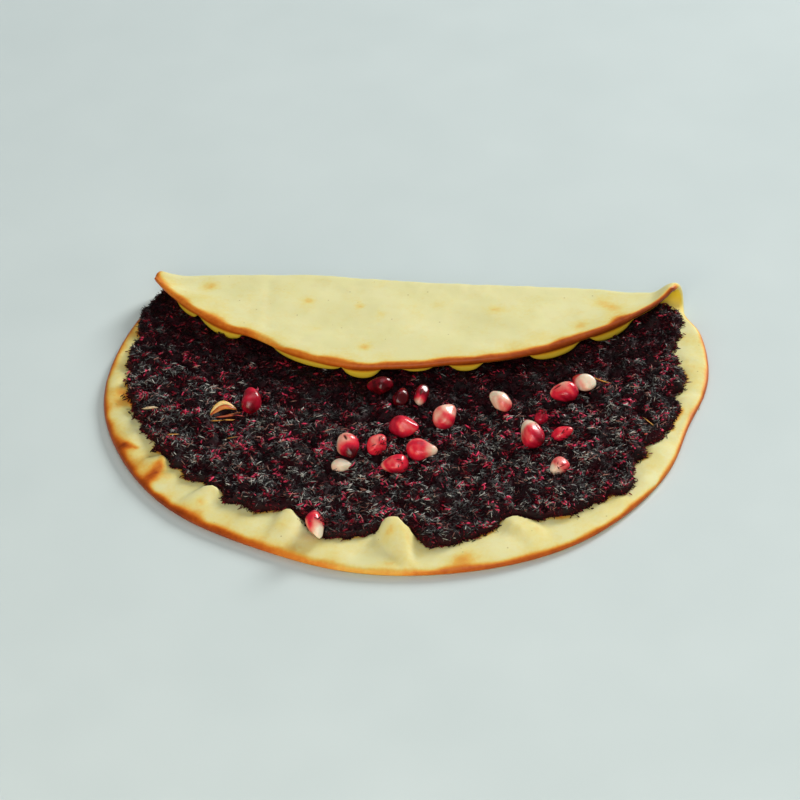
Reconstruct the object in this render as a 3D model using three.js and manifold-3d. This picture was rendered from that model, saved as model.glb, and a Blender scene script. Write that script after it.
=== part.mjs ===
// A folded manakish: a thin round flatbread spread with a dark chopped filling, its back third
// folded forward over the filling, with pomegranate seeds scattered over what stays open.
// Sizes are in millimetres. X runs along the fold, Y from the front rim towards the fold, Z up.
// The origin is on the flat underside, at the middle of the bottom round.
import * as THREE from 'three';
import { mergeVertices } from 'three/addons/utils/BufferGeometryUtils.js';
import Module from 'manifold-3d';

const wasm = await Module();
wasm.setup();

// ---- Dough ----
const roundRadius = 120.3; // rim of the bottom layer
const roundCentreY = 1;
const doughThickness = 3.2;
const rimRounding = 2.2; // distance over which the rim thins to its edge
const foldY = 50; // where the bottom layer starts to turn up
const foldTurn = 12; // dough taken by the turn
const foldRadius = 3.8; // middle of the dough, along most of the fold
const foldLeftEnd = { radius: 5, opensFrom: 97, opensTo: 115 }; // it opens towards its two ends
const foldRightEnd = { radius: 6, opensFrom: 94, opensTo: 103 };
const foldStraightens = 40; // dough beyond the turn over which the fold's bends fade out
const flapRadius = 130.5; // front edge of the folded flap, a wider arc than the bottom
const flapCentreX = -5;
const flapCentreY = 121.5;
const flapRimHeight = 13.3; // middle of the dough at the flap's front edge
const flapSag = 1.5; // power by which the flap's rise gathers towards that edge
const flapSway = 0.4; // typical unevenness of the flap
const shortestFlap = 4; // nearer the tips than this the flap is treated as this long
const marginPuff = 0.9; // how far the bare margin swells over the flat middle
const marginSway = 0.35; // typical unevenness of that swelling
const narrowMargin = 4; // a margin of this width doesn't swell
const wideMargin = 14; // a margin of this width swells in full

// ---- Filling ----
const fillingTop = 7.3;
const fillingEdgeTop = 5.2; // height of the filling's steep edge
const fillingEdgeRound = 3; // distance over which the edge rounds up to the top
const fillingLump = 0.75; // typical height of its lumps
const fillingRag = 0.8; // typical raggedness of its outline
const fillingBackY = 49.3; // where it ends inside the fold
const fillsFrom = 14; // distance in from the flap's rim at which it starts to rise to the flap
const fillsFully = 22; // distance in at which it reaches the flap's underside
const thinnestFilling = 0.8;
const shredCount = 84;
const shredLength = [7, 13];
const shredWidth = [1.5, 2.4];
const shredThickness = 1.1;
const shredSpacing = 11;
const shredLift = 0.6; // middle of a shred over the filling
const shredBow = 0.22; // most that a shred curves sideways, as a share of its length
const shredTaper = 0.45; // share of its width lost at the ends
const shredDroop = 0.5;
const shredRoll = 0.45; // most that it tips about its length, in radians
const shredEdgeClear = 4.5;
const shredFlapClear = 7;
const shredSeedClear = 12;

const gap = 0.3; // between pieces that touch

// Bends of the fold: place along it, half width, and how far it stands back.
const foldBends = [
  { x: -104, width: 12, shift: -1.6 },
  { x: -46, width: 30, shift: 2.6 },
  { x: 88, width: 14, shift: -1.6 },
];

// Where the rim of the dough bends in or out: angle and half width in degrees, depth in millimetres.
// Angles past the fold are on the unrolled flap.
const rimBends = [
  { angle: 192, width: 14, depth: 1.6 },
  { angle: 248, width: 18, depth: -4 },
  { angle: 308, width: 20, depth: 3.6 },
  { angle: 348, width: 10, depth: -3.6 },
  { angle: 121, width: 6, depth: -2.5 },
  { angle: 100, width: 7, depth: 2 },
  { angle: 80, width: 7, depth: -1.8 },
  { angle: 23.5, width: 4, depth: -2.4 },
];

// Where the filling's outline runs out in lobes or stays back in bays.
const fillingReachMean = 108.3;
const fillingEgg = { right: -1.5, back: 2.9, oval: 3.8, slant: -5 };
const fillingLobes = [
  { angle: 163, width: 5, depth: 4 },
  { angle: 172, width: 2, depth: -3 },
  { angle: 230, width: 3, depth: -2 },
  { angle: 250, width: 5, depth: -6 },
  { angle: 261, width: 4, depth: 3 },
  { angle: 275, width: 4.5, depth: -11 },
  { angle: 284, width: 5, depth: 4 },
  { angle: 301, width: 6, depth: -8 },
  { angle: 325, width: 3.5, depth: 5 },
  { angle: 336, width: 8, depth: -5 },
  { angle: 355, width: 2, depth: -4 },
  { angle: 10, width: 4.5, depth: -4 },
  { angle: 22.5, width: 8, depth: 6.6 },
];

// Pinched crimps on the open margin: angle, distance of the peak from the middle, height of the
// peak, half width there, how much the ridge narrows and how far it leans on its way to the rim.
const marginCrimps = [
  { angle: 216, peak: 107, height: 3.4, width: 4, taper: 0.3, lean: -2 },
  { angle: 230.5, peak: 101.5, height: 3.8, width: 3.8, taper: 0.3, lean: -1 },
  { angle: 251.5, peak: 96, height: 3.8, width: 6, taper: 0.2, lean: 0 },
  { angle: 275.5, peak: 97.5, height: 7.2, width: 6.6, taper: 0.72, lean: 3 },
  { angle: 301.5, peak: 101, height: 3.2, width: 6, taper: 0.3, lean: 1 },
  { angle: 337, peak: 110, height: 1, width: 7, taper: 0, lean: 0 },
];
const crimpInnerSlope = 3.5; // half width of a peak's steep side, next to the filling
const crimpRunOut = 1.2; // power by which a ridge falls towards the rim
const crimpsStart = 3; // distance from the filling's edge over which they rise to their height

// Crimps on the flap's margin, which hang from its underside on to the filling: place of the middle
// along the fold, half width and height.
const flapCrimpSetBack = 1.8; // they reach full height this far in from the flap's edge
const flapCrimpDepth = 12; // and start to fade this far in
const flapCrimps = [
  { x: -94.5, width: 5, height: 4.2 },
  { x: -78.3, width: 9.5, height: 5 },
  { x: -39.7, width: 14.5, height: 3.9 },
  { x: -17, width: 7.5, height: 5.2 },
  { x: 5.9, width: 5.5, height: 2 },
  { x: 24.5, width: 6, height: 4.2 },
  { x: 58.5, width: 9, height: 4.6 },
  { x: 79.9, width: 7.5, height: 4.8 },
];

// Pomegranate seeds: place of the middle, length, width, the way the tip points in degrees round Z,
// and how far the tip is raised.
const pomegranateSeeds = [
  { x: -57.4, y: -30.6, z: 10.6, length: 10.5, width: 9, turn: 100, pitch: 35 },
  { x: -8, y: -16.6, z: 9.8, length: 10, width: 7.4, turn: 185, pitch: 0 },
  { x: 0.9, y: -22.2, z: 8.6, length: 8.6, width: 6.4, turn: 80, pitch: 15 },
  { x: 8.9, y: -21.4, z: 9.6, length: 9.4, width: 6.8, turn: 262, pitch: -12 },
  { x: 5, y: -42.6, z: 10.6, length: 11.6, width: 8.6, turn: -8, pitch: 5 },
  { x: 20.3, y: -35.3, z: 10.8, length: 11, width: 9, turn: 62, pitch: 10 },
  { x: 40.5, y: -23.9, z: 10.4, length: 10.4, width: 7.8, turn: 138, pitch: 8 },
  { x: 64.9, y: -17.4, z: 10.8, length: 10.8, width: 8.8, turn: 200, pitch: 5 },
  { x: 72, y: -10, z: 10.4, length: 10, width: 7.6, turn: 150, pitch: 0 },
  { x: 55, y: -44.6, z: 11, length: 12, width: 9.6, turn: 118, pitch: 20 },
  { x: 66.2, y: -40.4, z: 8.6, length: 8.6, width: 5.6, turn: 20, pitch: 18 },
  { x: 57.2, y: -29.4, z: 7.8, length: 7.4, width: 5.6, turn: 70, pitch: 0 },
  { x: 67, y: -60.2, z: 8.4, length: 8.6, width: 7, turn: 232, pitch: -10 },
  { x: -14.9, y: -56.8, z: 11, length: 11.6, width: 9.2, turn: -60, pitch: -5 },
  { x: -3.9, y: -54.6, z: 10.6, length: 9.6, width: 8, turn: 250, pitch: -5 },
  { x: -16.2, y: -64.6, z: 7.6, length: 7.8, width: 6, turn: 5, pitch: 0 },
  { x: 4.6, y: -64.8, z: 10, length: 10.4, width: 7.8, turn: 190, pitch: -6 },
  { x: 13.8, y: -57, z: 11.2, length: 12, width: 8.8, turn: -6, pitch: 4 },
  { x: -20.6, y: -100.6, z: 8.6, length: 12, width: 7.2, turn: -66, pitch: -14 },
];
const seedSides = 8;
const seedRings = 5;
const seedPinch = 0.32; // share of its width that a seed loses towards the tip
const seedPinchFrom = -0.2; // where that starts, from -1 at the blunt end to 1 at the tip
const seedFlatCount = 3;
const seedFlatness = 0.05;

// A curled flake of onion beside the first seed.
const flake = { x: -68.6, y: -33.2, z: 8.1, length: 11, width: 4.2, thickness: 0.7, turn: 24 };
const flakeArch = 1.7; // height of its middle over its ends
const flakeCurl = 1.8; // how far its ends bend sideways
const flakeTaper = 0.5;
const flakeLean = 0.35;
const flakeClear = 13; // shreds stay this far from it

const fullTurn = 2 * Math.PI;
const degree = Math.PI / 180;
const flapStart = foldY + foldTurn; // the unrolled distance at which the flap begins
const flapCentreUnrolled = flapStart + foldY - flapCentreY;

const clamp = (value) => Math.min(Math.max(value, 0), 1);
const ramp = (value, from, to) => {
  const share = clamp((value - from) / (to - from));
  return share * share * (3 - 2 * share);
};
const mix = (a, b, share) => a + (b - a) * share;
const hump = (distance, width) => Math.exp(-((distance / width) ** 2));
const knoll = (distance, width) => Math.exp(-((distance / width) ** 4));
const arch = (share) => Math.sqrt(clamp(1 - share ** 2));

// Degrees from one direction to another, from -180 to 180.
function turnBetween(angle, degrees) {
  const turn = (angle / degree - degrees) % 360;
  return ((turn + 540) % 360) - 180;
}

// A repeatable stream of numbers from 0 to 1.
function makeDraw(seed) {
  let state = seed;
  return () => {
    state = (Math.imul(state, 1664525) + 1013904223) >>> 0;
    return state / 2 ** 32;
  };
}

// An uneven surface about zero: waves in many directions, added up.
function makeLumps(seed, waveCount, shortest, longest) {
  const draw = makeDraw(seed);
  const waves = [];
  for (let i = 0; i < waveCount; i += 1) {
    const heading = fullTurn * draw();
    const length = mix(shortest, longest, draw());
    const phase = fullTurn * draw();
    waves.push({ heading, pace: fullTurn / length, phase });
  }
  const scale = Math.sqrt(2 / waveCount);
  return (x, y) => {
    let sum = 0;
    for (const { heading, pace, phase } of waves) {
      sum += Math.cos(pace * (x * Math.cos(heading) + y * Math.sin(heading)) + phase);
    }
    return sum * scale;
  };
}

const fillingLumps = makeLumps(11, 28, 8, 26);
const doughWaves = makeLumps(23, 12, 26, 60);
const fillingRags = makeLumps(37, 16, 5, 14);

// ---- Outlines, as distances from the middle in a direction ----

function reachToCircle(angle, centreX, centreY, radius) {
  const along = centreX * Math.cos(angle) + centreY * Math.sin(angle);
  const aside = centreX * Math.sin(angle) - centreY * Math.cos(angle);
  return along + Math.sqrt(radius ** 2 - aside ** 2);
}

function bendsAt(angle, bends) {
  let sum = 0;
  for (const bend of bends) {
    sum += bend.depth * hump(turnBetween(angle, bend.angle), bend.width);
  }
  return sum;
}

// The unrolled dough: the bottom round below the fold, the wider arc of the flap above it.
function doughReach(angle) {
  const bottom = reachToCircle(angle, 0, roundCentreY, roundRadius);
  const flap = reachToCircle(angle, flapCentreX, flapCentreUnrolled, flapRadius);
  const flapShare = ramp(Math.sin(angle), foldY / roundRadius, flapStart / roundRadius);
  return mix(bottom, flap, flapShare) + bendsAt(angle, rimBends);
}

// The filling's outline: egg-shaped, with lobes, bays and rags, ending inside the fold at the back.
function fillingReach(angle) {
  const cosine = Math.cos(angle);
  const sine = Math.sin(angle);
  const egg = fillingEgg.right * cosine + fillingEgg.back * sine;
  const oval = fillingEgg.oval * Math.cos(2 * angle) + fillingEgg.slant * Math.sin(2 * angle);
  const rags = fillingRag * fillingRags(fillingReachMean * cosine, fillingReachMean * sine);
  const open = fillingReachMean + egg + oval + bendsAt(angle, fillingLobes) + rags;
  const inDough = Math.min(open, reachToCircle(angle, 0, roundCentreY, roundRadius) - rimRounding);
  return sine > 0 ? Math.min(inDough, fillingBackY / sine) : inDough;
}

// ---- A mesh over a star-shaped outline ----

// Delaunay triangles of points in the unit disc, added one at a time from the last to the first,
// so that the points on the rim come when the inside is already filled.
function triangulate(points) {
  const far = 1000;
  const corners = [...points, [-far, -far], [far, -far], [0, far]];
  const makeTriangle = (a, b, c) => {
    const [ax, ay] = corners[a];
    const bx = corners[b][0] - ax;
    const by = corners[b][1] - ay;
    const cx = corners[c][0] - ax;
    const cy = corners[c][1] - ay;
    const area = 2 * (bx * cy - by * cx);
    const x = (cy * (bx ** 2 + by ** 2) - by * (cx ** 2 + cy ** 2)) / area;
    const y = (bx * (cx ** 2 + cy ** 2) - cx * (bx ** 2 + by ** 2)) / area;
    return { ends: [a, b, c], x: x + ax, y: y + ay, square: x ** 2 + y ** 2 };
  };
  let triangles = [makeTriangle(points.length, points.length + 1, points.length + 2)];
  for (let index = points.length - 1; index >= 0; index -= 1) {
    const [x, y] = points[index];
    const kept = [];
    const rimOfHole = new Map();
    for (const triangle of triangles) {
      if ((x - triangle.x) ** 2 + (y - triangle.y) ** 2 >= triangle.square) {
        kept.push(triangle);
        continue;
      }
      triangle.ends.forEach((from, corner) => {
        const to = triangle.ends[(corner + 1) % 3];
        if (!rimOfHole.delete(`${to},${from}`)) {
          rimOfHole.set(`${from},${to}`, [from, to]);
        }
      });
    }
    for (const [from, to] of rimOfHole.values()) {
      kept.push(makeTriangle(from, to, index));
    }
    triangles = kept;
  }
  return triangles.map((triangle) => triangle.ends).filter((ends) => Math.max(...ends) < points.length);
}

// Points on rings along the outline, at given places and spread between them, all joined up. For
// the joining the rim becomes a circle, and the higher rimPull is, the less that shifts the inside.
const rimPull = 6;
function meshOutline({ reach, angles, insets, fixed, spacing, seed, tries }) {
  const draw = makeDraw(seed);
  const sites = [];
  const widest = Math.max(...angles.map(reach));
  const addSite = (x, y, onRim) => {
    const share = Math.hypot(x, y) / reach(Math.atan2(y, x));
    const toDisc = share / Math.hypot(x, y);
    const scale = onRim ? toDisc : mix(1 / widest, toDisc, share ** rimPull);
    const blur = onRim ? 0 : 1e-6;
    sites.push({ x, y, onRim, disc: [x * scale + blur * draw(), y * scale + blur * draw()] });
  };
  for (const inset of insets) {
    for (const angle of angles) {
      const distance = reach(angle) - inset;
      addSite(distance * Math.cos(angle), distance * Math.sin(angle), inset === 0);
    }
  }
  const deepest = Math.max(...insets);
  const inside = (x, y, clear) => Math.hypot(x, y) < reach(Math.atan2(y, x)) - deepest - clear;
  for (const [x, y] of fixed) {
    if (inside(x, y, 1.5)) {
      addSite(x, y, false);
    }
  }
  for (let i = 0; i < tries; i += 1) {
    const x = mix(-widest, widest, draw());
    const y = mix(-widest, widest, draw());
    const apart = spacing(x, y);
    const free = inside(x, y, 0.6 * apart)
      && sites.every((site) => Math.hypot(site.x - x, site.y - y) > apart);
    if (free) {
      addSite(x, y, false);
    }
  }
  return { sites, triangles: triangulate(sites.map((site) => site.disc)) };
}

// Directions spread evenly from one to another, both left out.
function anglesBetween(from, to, step) {
  const count = Math.round((to - from) / step);
  return Array.from({ length: count - 1 }, (_, i) => mix(from, to, (i + 1) / count));
}

function makeGeometry(positions, triangles) {
  const geometry = new THREE.BufferGeometry();
  geometry.setAttribute('position', new THREE.Float32BufferAttribute(positions.flat(), 3));
  geometry.setIndex(triangles.flat());
  geometry.computeVertexNormals();
  return geometry;
}

// ---- Solids for cutting and joining ----

function toSolid(source) {
  const bare = source.clone();
  bare.deleteAttribute('normal');
  bare.deleteAttribute('uv');
  const welded = mergeVertices(bare, 1e-4);
  const index = welded.index.array;
  const triVerts = [];
  for (let i = 0; i < index.length; i += 3) {
    const [a, b, c] = index.slice(i, i + 3);
    if (a !== b && b !== c && c !== a) {
      triVerts.push(a, b, c);
    }
  }
  return new wasm.Manifold(new wasm.Mesh({
    numProp: 3,
    vertProperties: new Float32Array(welded.getAttribute('position').array),
    triVerts: new Uint32Array(triVerts),
  }));
}

// Drops the scraps that a cut leaves loose and gives the rest back as a geometry.
function toGeometry(solid) {
  const pieces = solid.decompose();
  pieces.sort((a, b) => b.volume() - a.volume());
  const mesh = pieces[0].getMesh();
  const geometry = new THREE.BufferGeometry();
  geometry.setAttribute('position', new THREE.Float32BufferAttribute(mesh.vertProperties, 3));
  geometry.setIndex(Array.from(mesh.triVerts));
  geometry.computeVertexNormals();
  return geometry;
}

// ---- Dough ----

function foldRadiusAt(x) {
  const end = x < 0 ? foldLeftEnd : foldRightEnd;
  return mix(foldRadius, end.radius, ramp(Math.abs(x), end.opensFrom, end.opensTo));
}

// The fold isn't quite straight: it bows back left of the middle and draws in near its ends.
function foldShift(x, unrolled) {
  let shift = 0;
  for (const bend of foldBends) {
    shift += bend.shift * hump(x - bend.x, bend.width);
  }
  return shift * ramp(unrolled, 0, foldY) * (1 - ramp(unrolled, flapStart, flapStart + foldStraightens));
}

// Height that the flap gains from the fold to its front edge.
function flapRise(x, fromFold) {
  const rimFromFold = flapCentreUnrolled - flapStart + Math.sqrt(flapRadius ** 2 - (x - flapCentreX) ** 2);
  const share = clamp(fromFold / Math.max(rimFromFold, shortestFlap));
  const foldTop = doughThickness / 2 + 2 * foldRadiusAt(x);
  const sway = flapSway * doughWaves(x, fromFold) * Math.sin(Math.PI * share);
  return (flapRimHeight - foldTop) * share ** flapSag + sway;
}

// Height of the open margin's crimps in a direction, at a distance from the middle.
function crimpsAt(reach, rim, angle) {
  let sum = 0;
  for (const crimp of marginCrimps) {
    const outwards = (reach - crimp.peak) / (rim - crimp.peak);
    const toRim = clamp(outwards);
    const aside = (turnBetween(angle, crimp.angle + crimp.lean * toRim) * degree) * reach;
    const width = crimp.width * (1 - crimp.taper * toRim);
    const along = outwards < 0 ? hump(reach - crimp.peak, crimpInnerSlope) : (1 - toRim) ** crimpRunOut;
    sum += crimp.height * along * knoll(aside, width);
  }
  return sum;
}

// Height of the inner face's relief: the bare margin's swelling and its crimps.
function doughRelief(x, unrolled) {
  const reach = Math.hypot(x, unrolled);
  const angle = Math.atan2(unrolled, x);
  const rim = doughReach(angle);
  if (unrolled > flapStart) {
    const inwards = rim - reach;
    const along = ramp(inwards, 0, flapCrimpSetBack) * (1 - ramp(inwards, flapCrimpDepth, fillsFully));
    const hanging = flapCrimps.map((crimp) => crimp.height * arch((x - crimp.x) / crimp.width));
    return Math.max(...hanging) * along;
  }
  if (unrolled > fillingBackY) {
    return 0;
  }
  const edge = fillingReach(angle);
  const share = clamp((reach - edge) / (rim - edge));
  const puff = (marginPuff + marginSway * doughWaves(x, unrolled)) * Math.sin(Math.PI * share);
  const swelling = puff * ramp(rim - edge, narrowMargin, wideMargin);
  return swelling + crimpsAt(reach, rim, angle) * ramp(reach - edge, 0, crimpsStart);
}

// A point of the folded dough. Side is 1 on the inner face, which carries the filling, -1 on the
// baked outer face and 0 on the rim. Swell thickens the dough all round.
function doughPoint({ x, y: unrolled, onRim }, side, swell) {
  const reach = Math.hypot(x, unrolled);
  const rimDistance = doughReach(Math.atan2(unrolled, x)) - reach;
  const roundness = Math.sqrt(1 - (1 - clamp(rimDistance / rimRounding)) ** 2);
  const half = (doughThickness / 2) * roundness;
  const relief = side > 0 ? doughRelief(x, unrolled) : 0;
  const inward = onRim ? 0 : side * (half + swell) + relief;
  const stretch = onRim ? 1 + swell / reach : 1;
  const radius = foldRadiusAt(x);
  const lever = radius - inward;
  const turn = Math.PI * clamp((unrolled - foldY) / foldTurn);
  const before = Math.min(unrolled - foldY, 0) * stretch;
  const beyond = Math.max(unrolled - flapStart, 0);
  const rise = beyond > 0 ? flapRise(x, beyond) : 0;
  return [
    x * stretch,
    foldY + foldShift(x, unrolled) + before - beyond * stretch + lever * Math.sin(turn),
    doughThickness / 2 + radius - lever * Math.cos(turn) + rise,
  ];
}

// The dough's mesh has rows across the turn of the fold, with places closer together at its ends.
const foldRowCount = 8;
const foldRows = Array.from(
  { length: foldRowCount + 1 },
  (_, row) => foldY + (foldTurn * row) / foldRowCount,
);

// Direction in which the rim crosses a row, at the right or the left end of the fold.
function rimAngleOfRow(unrolled, right) {
  const rounds = 12;
  let angle = right ? 0 : Math.PI;
  for (let i = 0; i < rounds; i += 1) {
    const rise = Math.asin(unrolled / doughReach(angle));
    angle = right ? rise : Math.PI - rise;
  }
  return angle;
}

function rimXOfRow(unrolled, right) {
  const angle = rimAngleOfRow(unrolled, right);
  return doughReach(angle) * Math.cos(angle);
}

// The places stand in columns that are straight in the middle and follow the rim at the ends.
function foldPlaces() {
  const columns = 24;
  const endColumns = 6;
  const endStep = 0.03;
  const middle = 0.78;
  const shares = [];
  for (let column = 0; column <= columns; column += 1) {
    shares.push(mix(-middle, middle, column / columns));
  }
  for (let column = 1; column <= endColumns; column += 1) {
    shares.push(middle + endStep * column, -middle - endStep * column);
  }
  return foldRows.flatMap((unrolled) => shares.map((share) => {
    const away = Math.abs(share);
    const straight = rimXOfRow(foldY, share > 0);
    const following = rimXOfRow(unrolled, share > 0);
    return [away * mix(straight, following, away ** rimPull), unrolled];
  }));
}

// Directions round the dough's outline: even steps, and the ends of the fold's rows.
function doughAngles() {
  const flapStep = 1.45 * degree;
  const step = 3.3 * degree;
  const right = foldRows.map((unrolled) => rimAngleOfRow(unrolled, true));
  const left = foldRows.map((unrolled) => rimAngleOfRow(unrolled, false)).reverse();
  const flap = anglesBetween(right.at(-1), left[0], flapStep);
  const bottom = anglesBetween(left.at(-1), right[0] + fullTurn, step);
  return [...right, ...flap, ...left, ...bottom];
}

// How far apart the dough's places stand: close on the crimps, wide under the filling and, in the
// turn of the fold, too wide for any to come between its rows.
const crimpSpacing = 2.7;
const marginSpacing = 5;
const flapMarginSpacing = 5.6;
const flapSpacing = 10;
const underFillingSpacing = 17;
const inTurnSpacing = 30;
const leastCrimp = 0.4; // relief from which a place counts as on a crimp

function doughSpacing(x, unrolled) {
  const reach = Math.hypot(x, unrolled);
  const angle = Math.atan2(unrolled, x);
  if (unrolled > flapStart) {
    return doughReach(angle) - reach < fillsFully ? flapMarginSpacing : flapSpacing;
  }
  if (unrolled > foldY) {
    return inTurnSpacing;
  }
  if (reach < fillingReach(angle) - 1) {
    return underFillingSpacing;
  }
  return crimpsAt(reach, doughReach(angle), angle) > leastCrimp ? crimpSpacing : marginSpacing;
}

const doughInsets = [0, 0.7, 2.4]; // rings of places on the rim and on its rounding
const doughMesh = meshOutline({
  reach: doughReach,
  angles: doughAngles(),
  insets: doughInsets,
  fixed: foldPlaces(),
  spacing: doughSpacing,
  seed: 5,
  tries: 9000,
});

function makeDough(swell) {
  const positions = doughMesh.sites.map((site) => doughPoint(site, 1, swell));
  const outerIndex = doughMesh.sites.map((site, index) => {
    if (site.onRim) {
      return index;
    }
    positions.push(doughPoint(site, -1, swell));
    return positions.length - 1;
  });
  const inner = doughMesh.triangles;
  const outer = inner.map(([a, b, c]) => [outerIndex[c], outerIndex[b], outerIndex[a]]);
  return makeGeometry(positions, [...inner, ...outer]);
}

// ---- Filling ----

// Height of the flap's underside over a place, or Infinity where the filling lies open.
function flapUnderside(x, y) {
  const beyond = foldY - y;
  const unrolled = flapStart + beyond;
  if (Math.hypot(x, unrolled) > doughReach(Math.atan2(unrolled, x)) + 1) {
    return Infinity;
  }
  const top = doughThickness / 2 + 2 * foldRadiusAt(x) + flapRise(x, Math.max(beyond, 0));
  return top - doughThickness / 2 - doughRelief(x, unrolled);
}

function fillingHeight(x, y) {
  const edge = fillingReach(Math.atan2(y, x)) - Math.hypot(x, y);
  const round = Math.sqrt(1 - (1 - clamp(edge / fillingEdgeRound)) ** 2);
  const lumps = fillingLump * fillingLumps(x, y) * ramp(edge, 0, fillingEdgeRound);
  const open = mix(fillingEdgeTop, fillingTop, round) + lumps;
  const roof = flapUnderside(x, y);
  if (roof === Infinity) {
    return open;
  }
  const unrolled = flapStart + foldY - y;
  const fromFlapRim = doughReach(Math.atan2(unrolled, x)) - Math.hypot(x, unrolled);
  const underRoof = roof - 1.5 * gap;
  return mix(Math.min(open, underRoof), underRoof, ramp(fromFlapRim, fillsFrom, fillsFully));
}

const openFillingSpacing = 4.3;
const coveredFillingSpacing = 11;
const fillingBaseSpacing = 24;
const fillingInsets = [0, 2]; // the filling's outline, and the shoulder of its steep edge

function fillingSpacing(x, y) {
  return flapUnderside(x, y) === Infinity ? openFillingSpacing : coveredFillingSpacing;
}

function makeFillingCore() {
  const backFrom = 27 * degree;
  const backTo = 153 * degree;
  const openStep = 1.9 * degree;
  const backStep = 6 * degree;
  const angles = [
    backFrom,
    ...anglesBetween(backFrom, backTo, backStep),
    backTo,
    ...anglesBetween(backTo, backFrom + fullTurn, openStep),
  ];
  const outline = { reach: fillingReach, angles, fixed: [], seed: 17 };
  const top = meshOutline({ ...outline, insets: fillingInsets, spacing: fillingSpacing, tries: 24000 });
  const base = meshOutline({ ...outline, insets: [0], spacing: () => fillingBaseSpacing, tries: 1500 });
  const baseHeight = doughThickness + gap;
  const lowest = baseHeight + thinnestFilling;
  const positions = top.sites.map(({ x, y }) => [x, y, Math.max(fillingHeight(x, y), lowest)]);
  const firstOfBase = positions.length;
  base.sites.forEach(({ x, y }) => positions.push([x, y, baseHeight]));
  const triangles = [...top.triangles];
  for (const [a, b, c] of base.triangles) {
    triangles.push([firstOfBase + c, firstOfBase + b, firstOfBase + a]);
  }
  angles.forEach((_, i) => {
    const next = (i + 1) % angles.length;
    triangles.push([i, firstOfBase + i, firstOfBase + next]);
    triangles.push([i, firstOfBase + next, next]);
  });
  return toSolid(makeGeometry(positions, triangles));
}

// One shred: a flat strip that bends over the lumps, half sunk in the filling.
function makeShred(x, y, draw) {
  const length = mix(...shredLength, draw());
  const width = mix(...shredWidth, draw());
  const strip = new THREE.BoxGeometry(length, width, shredThickness, 3, 1, 1);
  const position = strip.getAttribute('position');
  const bow = mix(-shredBow, shredBow, draw());
  for (let i = 0; i < position.count; i += 1) {
    const along = (2 * position.getX(i)) / length;
    position.setY(i, position.getY(i) * (1 - shredTaper * along ** 2) + bow * length * along ** 2);
    position.setZ(i, position.getZ(i) - shredDroop * along ** 2);
  }
  strip.rotateX(mix(-shredRoll, shredRoll, draw()));
  strip.rotateZ(fullTurn * draw());
  strip.translate(x, y, fillingHeight(x, y) + shredLift);
  return strip;
}

// Shreds are spread evenly over the open filling, clear of the flap and of the seeds.
function scatterShreds() {
  const draw = makeDraw(71);
  const places = [];
  for (let i = 0; i < 20000 && places.length < shredCount; i += 1) {
    const x = mix(-roundRadius, roundRadius, draw());
    const y = mix(-roundRadius, foldY, draw());
    const onFilling = Math.hypot(x, y) < fillingReach(Math.atan2(y, x)) - shredEdgeClear;
    const inTheOpen = flapUnderside(x, y + shredFlapClear) === Infinity;
    const nearSeed = pomegranateSeeds.some((seed) => Math.hypot(seed.x - x, seed.y - y) <= shredSeedClear);
    const clearOfFlake = Math.hypot(flake.x - x, flake.y - y) > flakeClear;
    const apart = places.every((place) => Math.hypot(place[0] - x, place[1] - y) > shredSpacing);
    if (onFilling && inTheOpen && !nearSeed && clearOfFlake && apart) {
      places.push([x, y]);
    }
  }
  return places.map(([x, y]) => makeShred(x, y, draw));
}

// ---- Seeds and flake ----

// A seed is a blunt drop with a few soft flats, its tip along +X before it is turned. Swell makes
// it bigger all round.
function makeSeed(seed, index, swell) {
  const profile = [];
  for (let i = 0; i <= seedRings; i += 1) {
    const around = (Math.PI * i) / seedRings;
    const along = -Math.cos(around);
    const pinch = 1 - seedPinch * ramp(along, seedPinchFrom, 1);
    profile.push(new THREE.Vector2(Math.sin(around) * pinch, along));
  }
  profile[0].x = 0;
  profile[seedRings].x = 0;
  const drop = new THREE.LatheGeometry(profile, seedSides);
  const position = drop.getAttribute('position');
  const halfLength = seed.length / 2 + swell;
  const halfWidth = seed.width / 2 + swell;
  for (let i = 0; i < position.count; i += 1) {
    const around = Math.atan2(position.getZ(i), position.getX(i));
    const flats = 1 + seedFlatness * Math.cos(seedFlatCount * around + 2 * index);
    position.setXYZ(
      i,
      position.getX(i) * halfWidth * flats,
      position.getY(i) * halfLength,
      position.getZ(i) * halfWidth * flats,
    );
  }
  drop.rotateZ(-Math.PI / 2);
  drop.rotateY(-seed.pitch * degree);
  drop.rotateZ(seed.turn * degree);
  drop.translate(seed.x, seed.y, seed.z);
  return drop;
}

function makeFlake(swell) {
  const thickness = flake.thickness + 2 * swell;
  const strip = new THREE.BoxGeometry(flake.length + 2 * swell, flake.width + 2 * swell, thickness, 6, 2, 1);
  const position = strip.getAttribute('position');
  for (let i = 0; i < position.count; i += 1) {
    const along = (2 * position.getX(i)) / flake.length;
    position.setY(i, position.getY(i) * (1 - flakeTaper * along ** 2) - flakeCurl * along ** 2);
    position.setZ(i, position.getZ(i) + flakeArch * (1 - along ** 2) - flakeLean * position.getY(i));
  }
  strip.rotateZ(flake.turn * degree);
  strip.translate(flake.x, flake.y, flake.z);
  return strip;
}

function makeFilling() {
  let filling = makeFillingCore();
  for (const shred of scatterShreds()) {
    filling = filling.add(toSolid(shred));
  }
  filling = filling.subtract(toSolid(makeDough(gap)));
  pomegranateSeeds.forEach((seed, index) => {
    filling = filling.subtract(toSolid(makeSeed(seed, index, gap)));
  });
  filling = filling.subtract(toSolid(makeFlake(gap)));
  return toGeometry(filling);
}

// ---- The scene graph ----

function makeMaterial(color, roughness) {
  return new THREE.MeshStandardMaterial({ color, roughness, metalness: 0 });
}

function makePiece(name, geometry, material) {
  const mesh = new THREE.Mesh(geometry, material);
  mesh.name = name;
  return mesh;
}

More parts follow.
